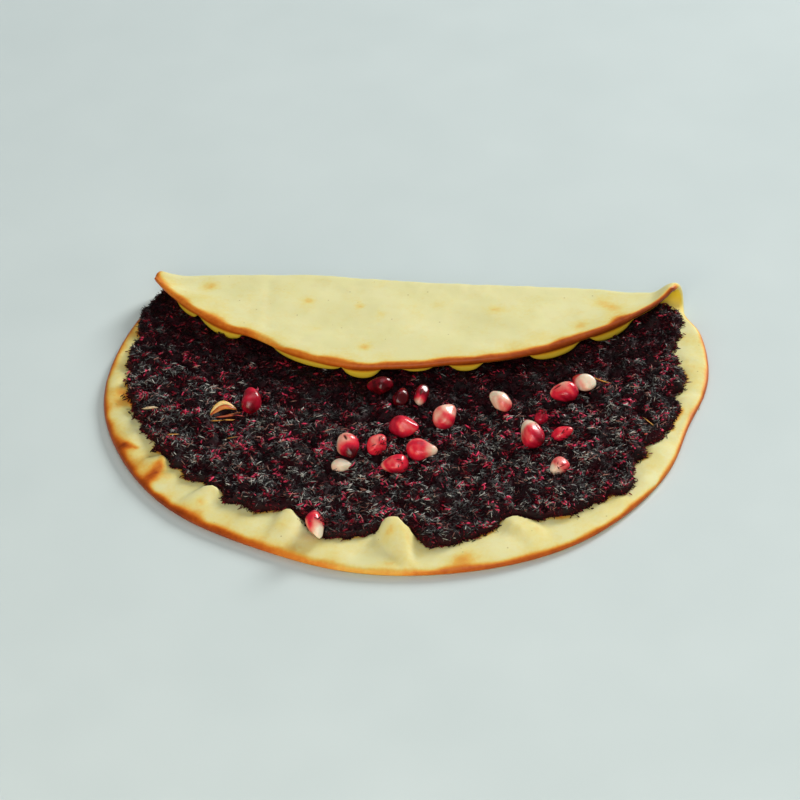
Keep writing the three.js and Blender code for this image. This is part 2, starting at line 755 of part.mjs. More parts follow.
const manakish = new THREE.Group();
manakish.add(makePiece('bread', makeDough(0), makeMaterial('#eadfa8', 0.75)));
manakish.add(makePiece('filling', makeFilling(), makeMaterial('#1f1416', 0.6)));
pomegranateSeeds.forEach((seed, index) => {
  const name = `pomegranate_seed_${String(index + 1).padStart(2, '0')}`;
  manakish.add(makePiece(name, makeSeed(seed, index, 0), makeMaterial('#c9213f', 0.25)));
});
manakish.add(makePiece('onion_flake', makeFlake(0), makeMaterial('#d99a4e', 0.5)));

export default manakish;
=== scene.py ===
"""Looks of a folded manakish: a thin pale flatbread folded over a dark chopped filling with seeds.

Shapes are worked out in millimetres in the part's own frame: X along the fold, Y from the front rim
towards the fold, Z up, with the origin on the flat underside. Meshes are made in metres.
"""

import math
from collections import namedtuple

import bpy
import numpy as np
from mathutils import Matrix, Vector


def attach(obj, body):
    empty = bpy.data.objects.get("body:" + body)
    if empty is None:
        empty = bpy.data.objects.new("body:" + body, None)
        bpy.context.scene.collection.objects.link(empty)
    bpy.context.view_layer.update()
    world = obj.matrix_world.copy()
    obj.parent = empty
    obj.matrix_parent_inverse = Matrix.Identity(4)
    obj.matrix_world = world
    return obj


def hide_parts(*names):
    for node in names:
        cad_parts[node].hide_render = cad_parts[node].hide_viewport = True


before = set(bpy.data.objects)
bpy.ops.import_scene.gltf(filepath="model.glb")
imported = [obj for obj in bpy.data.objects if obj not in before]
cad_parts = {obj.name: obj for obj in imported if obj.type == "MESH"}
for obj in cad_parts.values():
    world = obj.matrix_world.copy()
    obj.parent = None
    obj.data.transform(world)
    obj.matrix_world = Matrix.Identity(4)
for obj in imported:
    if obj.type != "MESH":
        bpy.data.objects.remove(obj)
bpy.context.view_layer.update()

MM = 0.001
FULL_TURN = 2 * math.pi

# ---- Dough, as in the solid ----
ROUND_RADIUS = 120.3
ROUND_CENTRE_Y = 1
DOUGH_THICKNESS = 3.2
RIM_ROUNDING = 2.2
FOLD_Y = 50
FOLD_TURN = 12
FOLD_RADIUS = 3.8
FOLD_LEFT_END = {"radius": 5, "opens_from": 97, "opens_to": 115}
FOLD_RIGHT_END = {"radius": 6, "opens_from": 94, "opens_to": 103}
FOLD_STRAIGHTENS = 40
FLAP_RADIUS = 130.5
FLAP_CENTRE_X = -5
FLAP_CENTRE_Y = 121.5
FLAP_RIM_HEIGHT = 13.3
FLAP_SAG = 1.5
FLAP_SWAY = 0.4
SHORTEST_FLAP = 4
MARGIN_PUFF = 0.9
MARGIN_SWAY = 0.35
NARROW_MARGIN = 4
WIDE_MARGIN = 14
FLAP_START = FOLD_Y + FOLD_TURN
FLAP_CENTRE_UNROLLED = FLAP_START + FOLD_Y - FLAP_CENTRE_Y

# ---- Filling, as in the solid ----
FILLING_TOP = 7.3
FILLING_EDGE_TOP = 5.2
FILLING_EDGE_ROUND = 3
FILLING_LUMP = 0.75
FILLING_RAG = 0.8
FILLING_BACK_Y = 49.3
FILLS_FROM = 14
FILLS_FULLY = 22
FILLING_REACH_MEAN = 108.3
FILLING_EGG = {"right": -1.5, "back": 2.9, "oval": 3.8, "slant": -5}
GAP = 0.3

# Bends of the fold: place along it, half width, and how far it stands back.
FOLD_BENDS = [(-104, 12, -1.6), (-46, 30, 2.6), (88, 14, -1.6)]

# Bends of the rim: angle and half width in degrees, and depth. Past the fold on the unrolled flap.
RIM_BENDS = [
    (192, 14, 1.6), (248, 18, -4), (308, 20, 3.6), (348, 10, -3.6), (121, 6, -2.5), (100, 7, 2),
    (80, 7, -1.8), (23.5, 4, -2.4),
]

# Lobes and bays of the filling's outline: angle, half width, depth.
FILLING_LOBES = [
    (163, 5, 4), (172, 2, -3), (230, 3, -2), (250, 5, -6), (261, 4, 3), (275, 4.5, -11),
    (284, 5, 4), (301, 6, -8), (325, 3.5, 5), (336, 8, -5), (355, 2, -4), (10, 4.5, -4),
    (22.5, 8, 6.6),
]

# Crimps of the open margin: angle, distance of the peak, height, half width, taper, lean.
MARGIN_CRIMPS = [
    (216, 107, 3.4, 4, 0.3, -2), (230.5, 101.5, 3.8, 3.8, 0.3, -1), (251.5, 96, 3.8, 6, 0.2, 0),
    (275.5, 97.5, 7.2, 6.6, 0.72, 3), (301.5, 101, 3.2, 6, 0.3, 1), (337, 110, 1, 7, 0, 0),
]
CRIMP_INNER_SLOPE = 3.5
CRIMP_RUN_OUT = 1.2
CRIMPS_START = 3

# Crimps of the flap's margin: place along the fold, half width, height.
FLAP_CRIMPS = [
    (-94.5, 5, 4.2), (-78.3, 9.5, 5), (-39.7, 14.5, 3.9), (-17, 7.5, 5.2), (5.9, 5.5, 2),
    (24.5, 6, 4.2), (58.5, 9, 4.6), (79.9, 7.5, 4.8),
]
FLAP_CRIMP_SET_BACK = 1.8
FLAP_CRIMP_DEPTH = 12


def clamp(value):
    return np.clip(value, 0.0, 1.0)


def ramp(value, start, end):
    share = clamp((value - start) / (end - start))
    return share * share * (3 - 2 * share)


def mix(a, b, share):
    return a + (b - a) * share


def hump(distance, width):
    return np.exp(-((distance / width) ** 2))


def knoll(distance, width):
    return np.exp(-((distance / width) ** 4))


def arch(share):
    return np.sqrt(clamp(1 - share**2))


def turn_between(angle, degrees):
    """Degrees from one direction to another, from -180 to 180."""
    return (np.degrees(angle) - degrees + 180) % 360 - 180


def make_draw(seed):
    """A repeatable stream of numbers from 0 to 1, the same as the solid's."""
    state = seed
    while True:
        state = (state * 1664525 + 1013904223) & 0xFFFFFFFF
        yield state / 2**32


def make_lumps(seed, wave_count, shortest, longest):
    """An uneven surface about zero: waves in many directions, added up."""
    draw = make_draw(seed)
    waves = []
    for _ in range(wave_count):
        heading = FULL_TURN * next(draw)
        length = mix(shortest, longest, next(draw))
        phase = FULL_TURN * next(draw)
        waves.append((heading, FULL_TURN / length, phase))
    scale = math.sqrt(2 / wave_count)

    def lumps(x, y):
        total = 0
        for heading, pace, phase in waves:
            total = total + np.cos(pace * (x * math.cos(heading) + y * math.sin(heading)) + phase)
        return total * scale

    return lumps


filling_lumps = make_lumps(11, 28, 8, 26)
dough_waves = make_lumps(23, 12, 26, 60)
filling_rags = make_lumps(37, 16, 5, 14)

# Finer unevenness than the solid carries.
filling_clumps = make_lumps(211, 30, 3.6, 9)
cleft_waves = make_lumps(251, 26, 7, 20)
filling_grit = make_lumps(223, 30, 1.3, 2.6)
dough_dimples = make_lumps(227, 24, 7, 17)
dough_ripples = make_lumps(229, 24, 2.5, 6)
bake_drift = make_lumps(233, 24, 9, 34)


# ---- Outlines, as distances from the middle in a direction ----


def reach_to_circle(angle, centre_x, centre_y, radius):
    along = centre_x * np.cos(angle) + centre_y * np.sin(angle)
    aside = centre_x * np.sin(angle) - centre_y * np.cos(angle)
    return along + np.sqrt(radius**2 - aside**2)


def bends_at(angle, bends):
    return sum(depth * hump(turn_between(angle, at), width) for at, width, depth in bends)


def dough_reach(angle):
    bottom = reach_to_circle(angle, 0, ROUND_CENTRE_Y, ROUND_RADIUS)
    flap = reach_to_circle(angle, FLAP_CENTRE_X, FLAP_CENTRE_UNROLLED, FLAP_RADIUS)
    flap_share = ramp(np.sin(angle), FOLD_Y / ROUND_RADIUS, FLAP_START / ROUND_RADIUS)
    return mix(bottom, flap, flap_share) + bends_at(angle, RIM_BENDS)


def filling_reach(angle):
    cosine = np.cos(angle)
    sine = np.sin(angle)
    egg = FILLING_EGG["right"] * cosine + FILLING_EGG["back"] * sine
    oval = FILLING_EGG["oval"] * np.cos(2 * angle) + FILLING_EGG["slant"] * np.sin(2 * angle)
    rags = FILLING_RAG * filling_rags(FILLING_REACH_MEAN * cosine, FILLING_REACH_MEAN * sine)
    free = FILLING_REACH_MEAN + egg + oval + bends_at(angle, FILLING_LOBES) + rags
    in_dough = reach_to_circle(angle, 0, ROUND_CENTRE_Y, ROUND_RADIUS) - RIM_ROUNDING
    behind = FILLING_BACK_Y / np.maximum(sine, 1e-6)
    return np.where(sine > 0, np.minimum(np.minimum(free, in_dough), behind), np.minimum(free, in_dough))


def in_from_rim(x, unrolled):
    """How far a place of the unrolled dough lies inside its rim."""
    return dough_reach(np.arctan2(unrolled, x)) - np.hypot(x, unrolled)


def in_from_edge(x, y):
    """How far a place lies inside the filling's edge."""
    return filling_reach(np.arctan2(y, x)) - np.hypot(x, y)


# ---- The folded dough ----


def fold_radius_at(x):
    radius = FOLD_RADIUS
    for end, side in ((FOLD_LEFT_END, -1), (FOLD_RIGHT_END, 1)):
        opening = ramp(side * x, end["opens_from"], end["opens_to"])
        radius = radius + (end["radius"] - FOLD_RADIUS) * opening
    return radius


def fold_shift(x, unrolled):
    shift = sum(by * hump(x - at, width) for at, width, by in FOLD_BENDS)
    kept = 1 - ramp(unrolled, FLAP_START, FLAP_START + FOLD_STRAIGHTENS)
    return shift * ramp(unrolled, 0, FOLD_Y) * kept


def flap_rise(x, from_fold):
    half = np.sqrt(np.maximum(FLAP_RADIUS**2 - (x - FLAP_CENTRE_X) ** 2, 0))
    rim_from_fold = FLAP_CENTRE_UNROLLED - FLAP_START + half
    share = clamp(from_fold / np.maximum(rim_from_fold, SHORTEST_FLAP))
    fold_top = DOUGH_THICKNESS / 2 + 2 * fold_radius_at(x)
    sway = FLAP_SWAY * dough_waves(x, from_fold) * np.sin(np.pi * share)
    return (FLAP_RIM_HEIGHT - fold_top) * share**FLAP_SAG + sway


def crimps_at(reach, rim, angle):
    total = 0
    for at, peak, height, half_width, taper, lean in MARGIN_CRIMPS:
        outwards = (reach - peak) / (rim - peak)
        to_rim = clamp(outwards)
        aside = np.radians(turn_between(angle, at + lean * to_rim)) * reach
        width = half_width * (1 - taper * to_rim)
        behind = hump(reach - peak, CRIMP_INNER_SLOPE)
        along = np.where(outwards < 0, behind, (1 - to_rim) ** CRIMP_RUN_OUT)
        total = total + height * along * knoll(aside, width)
    return total


def dough_relief(x, unrolled):
    """Height of the inner face's relief: the margin's swelling and crimps, and the flap's crimps."""
    reach = np.hypot(x, unrolled)
    angle = np.arctan2(unrolled, x)
    rim = dough_reach(angle)
    inwards = rim - reach
    hanging = np.max([height * arch((x - at) / width) for at, width, height in FLAP_CRIMPS], axis=0)
    fading = 1 - ramp(inwards, FLAP_CRIMP_DEPTH, FILLS_FULLY)
    on_flap = hanging * ramp(inwards, 0, FLAP_CRIMP_SET_BACK) * fading
    edge = filling_reach(angle)
    share = clamp((reach - edge) / (rim - edge))
    puff = (MARGIN_PUFF + MARGIN_SWAY * dough_waves(x, unrolled)) * np.sin(np.pi * share)
    swelling = puff * ramp(rim - edge, NARROW_MARGIN, WIDE_MARGIN)
    crimps = crimps_at(reach, rim, angle) * ramp(reach - edge, 0, CRIMPS_START)
    in_fold = np.where(unrolled > FILLING_BACK_Y, 0.0, swelling + crimps)
    return np.where(unrolled > FLAP_START, on_flap, in_fold)


def fold_up(x, unrolled, inward):
    """Where a point of the unrolled dough lies, at a height over the middle of the dough."""
    radius = fold_radius_at(x)
    lever = radius - inward
    turn = np.pi * clamp((unrolled - FOLD_Y) / FOLD_TURN)
    before = np.minimum(unrolled - FOLD_Y, 0)
    beyond = np.maximum(unrolled - FLAP_START, 0)
    rise = np.where(beyond > 0, flap_rise(x, beyond), 0.0)
    y = FOLD_Y + fold_shift(x, unrolled) + before - beyond + lever * np.sin(turn)
    z = DOUGH_THICKNESS / 2 + radius - lever * np.cos(turn) + rise
    return np.stack([x, y, z], axis=-1)


def rim_roundness(inwards):
    return np.sqrt(1 - (1 - clamp(inwards / RIM_ROUNDING)) ** 2)


# Creases of the dough, as lines between two places of the unrolled dough: start, end, half width,
# depth, and whether they are on the outer face.
CREASES = [
    ((17.5, -108), (16.9, -121), 0.7, 0.45, False),
    ((12.5, -97), (17.5, -109), 1.1, 0.35, False),
    ((108.5, -6.6), (118.5, -5.6), 0.8, 0.5, False),
    ((-63.3, 66), (-58.6, 98), 1.3, 0.22, True),
    ((-30, 60), (-22, 76), 2.2, 0.12, True),
]

# Small blisters: place on the unrolled dough, half width, height.
BLISTERS = [
    (52.3, -92.8, 1.5, 0.7), (55.6, -94.2, 1.2, 0.6), (49.8, -95.6, 1.0, 0.45),
    (7.4, -100.2, 1.6, 0.35), (-27, -110, 2.6, 0.3), (78, -84, 2.2, 0.3), (-101, -46, 2.4, 0.35),
]


DIMPLE_HEIGHT = 0.07
RIPPLE_HEIGHT = 0.03


def distance_to_line(x, y, start, end):
    across_x = end[0] - start[0]
    across_y = end[1] - start[1]
    square = across_x**2 + across_y**2
    share = clamp(((x - start[0]) * across_x + (y - start[1]) * across_y) / square)
    return np.hypot(x - start[0] - share * across_x, y - start[1] - share * across_y)


def fine_relief(x, unrolled, outer):
    """Dimples, creases and blisters that are finer than the solid's facets."""
    uneven = DIMPLE_HEIGHT * dough_dimples(x, unrolled) + RIPPLE_HEIGHT * dough_ripples(x, unrolled)
    total = uneven * ramp(in_from_rim(x, unrolled), 0, 6)
    for start, end, width, depth, on_outer in CREASES:
        if on_outer == outer:
            total = total - depth * hump(distance_to_line(x, unrolled, start, end), width)
    if not outer:
        for at_x, at_y, width, height in BLISTERS:
            total = total + height * hump(np.hypot(x - at_x, unrolled - at_y), width)
    return total


# Distances between the points of the dough's mesh, in millimetres.
SPACING = {"hidden": 4.0, "open": 1.35, "fold": 0.55, "rim": 0.3}
FOLD_CROWDING = 4  # how many times more directions there are where the rim passes the fold
SAMPLES_ROUND = 6000
SAMPLES_INWARDS = 900
LAST_RING = 0.05  # radius of the ring in the middle


def spread_places(density):
    """For each row of densities, the share of the points that come before each place."""
    steps = 0.5 * (density[..., 1:] + density[..., :-1])
    total = np.concatenate([np.zeros_like(steps[..., :1]), np.cumsum(steps, axis=-1)], axis=-1)
    return total / total[..., -1:]


def dough_angles(count):
    """Directions round the rim, closer together where it passes the ends of the fold."""
    fine = np.linspace(-np.pi / 2, 1.5 * np.pi, SAMPLES_ROUND)
    row = dough_reach(fine) * np.sin(fine)
    in_turn = ramp(row, FOLD_Y - 5, FOLD_Y) * (1 - ramp(row, FLAP_START, FLAP_START + 5))
    total = spread_places(1 + FOLD_CROWDING * in_turn)
    return np.interp(np.arange(count) / count, total, fine)


def dough_rings(angles, count):
    """Distances from the middle for each direction: close in the fold and at the rim."""
    rim = dough_reach(angles)[:, None]
    share = np.linspace(0, 1, SAMPLES_INWARDS)[None, :]
    reach = rim * (1 - share)
    row = reach * np.sin(angles)[:, None]
    inwards = rim - reach
    in_turn = ramp(row, FOLD_Y - 3, FOLD_Y) * (1 - ramp(row, FLAP_START, FLAP_START + 3))
    hidden = (row < FOLD_Y - 3) & (reach < filling_reach(angles)[:, None] - 4)
    spacing = np.where(hidden, SPACING["hidden"], SPACING["open"])
    spacing = mix(spacing, SPACING["fold"], in_turn)
    spacing = mix(SPACING["rim"], spacing, ramp(inwards, 0, 4))
    total = spread_places(1 / spacing)
    shares = np.array([np.interp(np.linspace(0, 1, count), row_total, share[0]) for row_total in total])
    return rim * (1 - shares)


def grid_quads(turns, rings):
    """Faces of rings of points that close round the middle, counter-clockwise seen from above."""
    i, j = np.meshgrid(np.arange(turns), np.arange(rings - 1), indexing="ij")
    following = (i + 1) % turns
    corners = [i * rings + j, following * rings + j, following * rings + j + 1, i * rings + j + 1]
    return np.stack(corners, axis=-1).reshape(-1, 4)


def end_quads(numbers):
    """Faces that close the two ends of rings of points, numbered by turn and ring."""
    quads = []
    for ring, outward in ((numbers[:, 0], True), (numbers[:, -1], False)):
        for i in range(1, len(ring) - 2, 2):
            corners = [ring[0], ring[i], ring[i + 1], ring[i + 2]]
            quads.append(corners[::-1] if outward else corners)
    return np.array(quads)


def make_mesh(name, points, faces, material, attributes=None):
    """A smooth mesh object from places in millimetres, with named numbers for each of its points."""
    mesh = bpy.data.meshes.new(name)
    sides = faces.shape[1]
    mesh.vertices.add(len(points))
    mesh.vertices.foreach_set("co", (np.asarray(points) * MM).astype(np.float32).ravel())
    mesh.loops.add(faces.size)
    mesh.loops.foreach_set("vertex_index", faces.astype(np.int32).ravel())
    mesh.polygons.add(len(faces))
    mesh.polygons.foreach_set("loop_start", np.arange(0, faces.size, sides, dtype=np.int32))
    mesh.update(calc_edges=True)
    mesh.validate()
    mesh.polygons.foreach_set("use_smooth", np.ones(len(mesh.polygons), dtype=bool))
    for attribute_name, values in (attributes or {}).items():
        attribute = mesh.attributes.new(attribute_name, "FLOAT", "POINT")
        attribute.data.foreach_set("value", np.asarray(values, dtype=np.float32).ravel())
    mesh.materials.append(material)
    piece = bpy.data.objects.new(name, mesh)
    bpy.context.scene.collection.objects.link(piece)
    return piece


# ---- Browning of the dough ----

# Baked colour of the bottom layer's rim: angle, half width in degrees, strength, reach inwards.
RIM_BAKES = [
    (160, 8, 0.5, 1.6), (176, 9, 0.56, 1.8), (190, 8, 0.58, 1.9), (201, 6, 0.66, 2.2),
    (209, 5, 0.7, 2.6), (217, 5, 0.74, 2.8), (226, 6, 0.76, 2.5), (236, 6, 0.72, 2.2),
    (246, 6, 0.6, 1.8), (257, 7, 0.4, 1.4), (271, 8, 0.22, 1.2), (284, 6, 0.5, 1.1),
    (297, 8, 0.58, 1.0), (315, 8, 0.56, 0.9), (335, 8, 0.52, 0.8), (352, 8, 0.58, 1.0),
    (8, 8, 0.56, 1.0), (20, 5, 0.4, 0.9),
]

# Baked colour of the flap's rim, by place along the fold: half width, strength, reach inwards.
FLAP_BAKES = [
    (-112, 8, 0.46, 3.0), (-97, 8, 0.44, 3.4), (-80, 8, 0.48, 3.6), (-68, 6, 0.48, 3.0),
    (-56, 6, 0.26, 2.2), (-44, 7, 0.44, 2.4), (-30, 8, 0.46, 2.6), (-12, 10, 0.54, 2.6),
    (10, 12, 0.58, 2.6), (34, 12, 0.62, 2.8), (58, 12, 0.66, 3.2), (80, 10, 0.68, 3.0),
    (94, 6, 0.7, 1.6), (104, 8, 0.68, 0.9),
]

# Baked colour of the rim where it turns up at the fold: at the left end and at the right end.
TURN_BAKES = [(-110, 40, 0.5, 2.2), (110, 40, 0.0, 1.2)]

# Soft baked spots: place on the unrolled dough, half width and strength.
OUTER_SPOTS = [
    (-88.5, 68.8, 4.0, 0.24), (-44.9, 78.7, 2.4, 0.34), (-24.1, 76, 2.0, 0.2),
    (-23.4, 80, 1.8, 0.26), (-14, 85.5, 2.4, 0.16), (-16.7, 109.4, 2.6, 0.26), (-39, 97, 2.4, 0.12),
    (32.1, 78.9, 3.2, 0.18), (52.3, 97.2, 4.0, 0.16), (8, 76, 2.2, 0.1), (76.3, 69.3, 5.0, 0.28),
    (80, 73, 4.4, 0.22), (68, 88, 3, 0.16), (51, 110, 3, 0.2),
]
INNER_SPOTS = [
    (36.6, -109.6, 4.6, 0.24), (7.5, -101.6, 1.8, 0.2), (-104.2, -53.2, 1.9, 0.55),
    (-101.6, -54.2, 1.5, 0.55), (-99.3, -54.8, 1.2, 0.4), (-92.6, -75, 2.8, 0.56),
    (-90.6, -72, 2.5, 0.5), (-89, -69, 2.1, 0.46), (-87.6, -66, 1.8, 0.46), (-86.8, -63, 1.4, 0.34),
    (-67.6, -85.4, 2.0, 0.44), (-67, -82, 1.6, 0.34), (-112, -20, 3, 0.24), (-111, -27, 3, 0.24),
    (-107.6, -24, 3, 0.24), (-106.6, -32.6, 2.6, 0.2), (52.6, -94, 2.4, 0.14), (-34, -98, 3, 0.1),
]


RIM_BAND = 0.85  # width of the rim's crisp brown band, as a share of its reach
RIM_HALO = 0.16
UNDER_EDGE = 0.35  # the lower edge of the flap's rim is browner
STAIN = 0.34  # juice that has soaked into the dough along the filling's edge
STAIN_WIDTH = 1.1
MARGIN_YELLOW = 0.07  # the margin is a little yellower than the flap
SPOT_DRIFT = 0.3
DEPTH_DRIFT = 0.22


def weighted(value, places, column):
    """A number of the listed places, blended by how near they are."""
    near = np.array([hump(value(at), width) for at, width, *_ in places]) + 1e-9
    numbers = np.array([place[column] for place in places]).reshape((-1,) + (1,) * (near.ndim - 1))
    return (near * numbers).sum(axis=0) / near.sum(axis=0)


def browning(x, unrolled, outer):
    """How baked the dough is, from 0 where it is pale to 1 where it is brown."""
    reach = np.hypot(x, unrolled)
    angle = np.arctan2(unrolled, x)
    inwards = dough_reach(angle) - reach
    drift = bake_drift(x, unrolled)

    def from_angle(at):
        return turn_between(angle, at)

    def from_place(at):
        return x - at

    on_flap = ramp(unrolled, FLAP_START - 3, FLAP_START + 1)
    on_bottom = 1 - ramp(unrolled, FOLD_Y - 6, FOLD_Y - 1)
    blends = []
    for column in (2, 3):
        in_turn = weighted(from_place, TURN_BAKES, column)
        level = mix(in_turn, weighted(from_place, FLAP_BAKES, column), on_flap)
        blends.append(mix(level, weighted(from_angle, RIM_BAKES, column), on_bottom))
    strength, depth = blends
    depth = depth * (1 + DEPTH_DRIFT * drift)
    band = mix(hump(inwards, depth), knoll(inwards, RIM_BAND * depth), on_flap)
    total = strength * band + RIM_HALO * hump(inwards, 2.4 * depth)
    if not outer:
        from_filling = reach - filling_reach(angle)
        soaked = STAIN * hump(from_filling - 0.3, STAIN_WIDTH) * ramp(drift, -0.6, 1.2)
        yellow = MARGIN_YELLOW * (1 + 0.5 * drift) * ramp(inwards, 1, 5)
        total = total + (soaked + yellow) * (1 - ramp(unrolled, FOLD_Y - 8, FOLD_Y))
        under_flap = ramp(unrolled, FOLD_Y, FLAP_START)
        total = total + UNDER_EDGE * strength * under_flap * hump(inwards - 0.35, 0.3)
        total = total * (1 - 0.97 * under_flap * ramp(inwards, 0.3, 1.0))
    for at_x, at_y, width, spot_strength in OUTER_SPOTS if outer else INNER_SPOTS:
        spot = hump(np.hypot(x - at_x, unrolled - at_y), width) * (1 + SPOT_DRIFT * drift)
        total = 1 - (1 - total) * (1 - spot_strength * spot)
    return np.clip(total, 0, 1)


def make_bread(material):
    turns = 560
    rings = 76
    angles = dough_angles(turns)
    reach = dough_rings(angles, rings)
    reach[:, -1] = LAST_RING
    x = reach * np.cos(angles)[:, None]
    unrolled = reach * np.sin(angles)[:, None]
    inwards = dough_reach(angles)[:, None] - reach
    half = DOUGH_THICKNESS / 2 * rim_roundness(inwards)
    inner = fold_up(x, unrolled, half + dough_relief(x, unrolled) + fine_relief(x, unrolled, False))
    flat = ramp(unrolled, FOLD_Y - 6, FOLD_Y + 2)
    outer = fold_up(x, unrolled, -half - fine_relief(x, unrolled, True) * flat)
    faces = grid_quads(turns, rings)
    numbers = np.arange(turns * rings).reshape(turns, rings)
    outer_numbers = numbers + turns * rings
    outer_numbers[:, 0] = numbers[:, 0]
    outer_faces = outer_numbers.ravel()[faces][:, ::-1]
    baked = np.concatenate([browning(x, unrolled, False).ravel(), browning(x, unrolled, True).ravel()])
    # Painted warm light: the flap's inner face and the inside of the fold turn yellow for the bounced and
    # through-shining light in their shade.
    under = ramp(unrolled, FOLD_Y - 4, FOLD_Y + 6) * ramp(inwards, 0.3, 0.9)
    shaded = np.concatenate([under.ravel(), 0 * under.ravel()])
    points = np.concatenate([inner.reshape(-1, 3), outer.reshape(-1, 3)])
    piece = make_mesh(
        "bread_dough",
        points,
        np.concatenate([faces, outer_faces]),
        material,
        {"browning": baked, "underside": shaded},
    )
    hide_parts("bread")
    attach(piece, "root")


# ---- Filling ----


OPEN = 1e6  # stands for the height of the flap's underside where there is no flap


def flap_underside(x, y):
    """Height of the flap's underside over a place of the bottom layer."""
    beyond = FOLD_Y - y
    unrolled = FLAP_START + beyond
    outside = in_from_rim(x, unrolled) < -1
    top = DOUGH_THICKNESS / 2 + 2 * fold_radius_at(x) + flap_rise(x, np.maximum(beyond, 0))
    under = top - DOUGH_THICKNESS / 2 - dough_relief(x, unrolled)
    return np.where(outside, OPEN, under)


def filling_height(x, y):
    edge = in_from_edge(x, y)
    round_off = np.sqrt(1 - (1 - clamp(edge / FILLING_EDGE_ROUND)) ** 2)
    lumps = FILLING_LUMP * filling_lumps(x, y) * ramp(edge, 0, FILLING_EDGE_ROUND)
    free = mix(FILLING_EDGE_TOP, FILLING_TOP, round_off) + lumps
    roof = flap_underside(x, y)
    from_flap_rim = in_from_rim(x, FLAP_START + FOLD_Y - y)
    under_roof = roof - 1.5 * GAP
    covered = mix(np.minimum(free, under_roof), under_roof, ramp(from_flap_rim, FILLS_FROM, FILLS_FULLY))
    return np.where(roof < OPEN, covered, free)


CLUMP_HEIGHT = 0.5
GRIT_HEIGHT = 0.22
CLEFT_DEPTH = 1.1
CLEFT_WIDTH = 0.3  # of the height of the waves that part the clumps
SHRED_BED = 0.4  # how far the core stays below the solid's face, to leave room for the shreds


def clefts_at(x, y):
    """Clefts that part the clumps, where slow waves pass through zero: from 0 to 1. The shreds in them are
    darkened as painted shade.
    """
    return hump(cleft_waves(x, y), CLEFT_WIDTH)


def fine_filling_height(x, y):
    """The filling's height with its chopped clumps and hollows, as far down as its foot."""
    edge = in_from_edge(x, y)
    clumps = CLUMP_HEIGHT * filling_clumps(x, y) + GRIT_HEIGHT * filling_grit(x, y)
    clumps = clumps - CLEFT_DEPTH * clefts_at(x, y)
    height = filling_height(x, y) - SHRED_BED + clumps * ramp(edge, -0.5, 1.5)
    roof = flap_underside(x, y)
    return np.maximum(np.minimum(height, roof - 0.2), DOUGH_THICKNESS + GAP)


def make_filling_core(material):
    turns = 520
    rings = 96
    angles = FULL_TURN * np.arange(turns) / turns
    rim = filling_reach(angles)[:, None]
    share = np.linspace(0, 1, rings)[None, :] ** 1.15
    reach = rim * (1 - share)
    reach[:, -1] = LAST_RING
    x = reach * np.cos(angles)[:, None]
    y = reach * np.sin(angles)[:, None]
    height = fine_filling_height(x, y)
    foot = DOUGH_THICKNESS + 0.1
    wall = np.stack([x[:, 0], y[:, 0], np.full(turns, foot)], axis=-1)[:, None, :]
    top = np.stack([x, y, height], axis=-1)
    points = np.concatenate([wall, top], axis=1)
    faces = grid_quads(turns, rings + 1)
    clump_height = np.concatenate([np.zeros((turns, 1)), filling_clumps(x, y)], axis=1).ravel()
    piece = make_mesh("filling_core", points.reshape(-1, 3), faces, material, {"clump": clump_height})
    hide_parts("filling")
    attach(piece, "root")


COVERED_DEPTH = 7  # how far shreds go on under the flap


def scatter_places(random, count):
    """Places over the open filling and a little way in under the flap, spread at random."""
    bare_rounds = [(seed.x, seed.y, 0.4 * seed.width) for seed in SEEDS]
    bare_rounds.append((FLAKE["x"], FLAKE["y"], FLAKE_BARE))
    bare_rounds.append((FLAKE["x"] + 3, FLAKE["y"] - 4, 0.8 * FLAKE_BARE))
    places = np.empty((0, 2))
    while len(places) < count:
        tries = random.uniform([-125, -125], [125, 60], (4 * count, 2))
        x, y = tries.T
        chosen = (in_from_edge(x, y) > 0.5) & (flap_underside(x, y - COVERED_DEPTH) == OPEN)
        for at_x, at_y, radius in bare_rounds:
            chosen &= np.hypot(x - at_x, y - at_y) >= radius
        places = np.concatenate([places, tries[chosen]])
    return places[:count]


def turn_pair(first, second, angle):
    """Turns every pair of coordinates by an angle for each shred."""
    cosine = np.cos(angle)[:, None]
    sine = np.sin(angle)[:, None]
    return first * cosine - second * sine, first * sine + second * cosine


SHRED_STATIONS = (-0.5, -0.2, 0.22, 0.5)  # of the ends and the rings, for its length
SHRED_CORNERS = (-0.6, 0.5, 1.6)  # of a half turn
SHRED_POINTS = 8
SHRED_ROLL = 0.6  # in radians, and so is the rise below
SHRED_BOW = 0.3  # the most that a shred bends aside, for its length
SHRED_LIFT = (-0.1, 0.25)  # how far its middle bends down or up, for its length

# The least and the most length, width and thickness of a kind of shred.
Size = namedtuple("Size", "length width thick")


def bend_shreds(random, places, heights, heading, size, rise):
    """Tapered, curved shreds: two pointed ends and two rings of three corners each."""
    count = len(places)
    length, width, thickness = (random.uniform(*limits, count) for limits in size)
    pitch = random.normal(0, rise, count)
    roll = random.normal(0, SHRED_ROLL, count)
    bow = random.uniform(-SHRED_BOW, SHRED_BOW, count) * length
    lift = random.uniform(*SHRED_LIFT, count) * length
    rings = [(0, 0, 0), *[(s, 0.5, c * np.pi) for s in (1, 2) for c in SHRED_CORNERS], (3, 0, 0)]
    local = []
    for station, fat, corner in rings:
        along = SHRED_STATIONS[station]
        sideways = bow * (0.25 - along**2) + fat * width * math.cos(corner)
        upwards = lift * (0.25 - along**2) + fat * thickness * math.sin(corner)
        local.append(np.stack([along * length, sideways, upwards], axis=-1))
    x, y, z = np.moveaxis(np.stack(local, axis=1), -1, 0)
    y, z = turn_pair(y, z, roll)
    x, z = turn_pair(x, z, pitch)
    x, y = turn_pair(x, y, heading)
    return np.stack([x + places[:, :1], y + places[:, 1:], z + heights[:, None]], axis=-1)


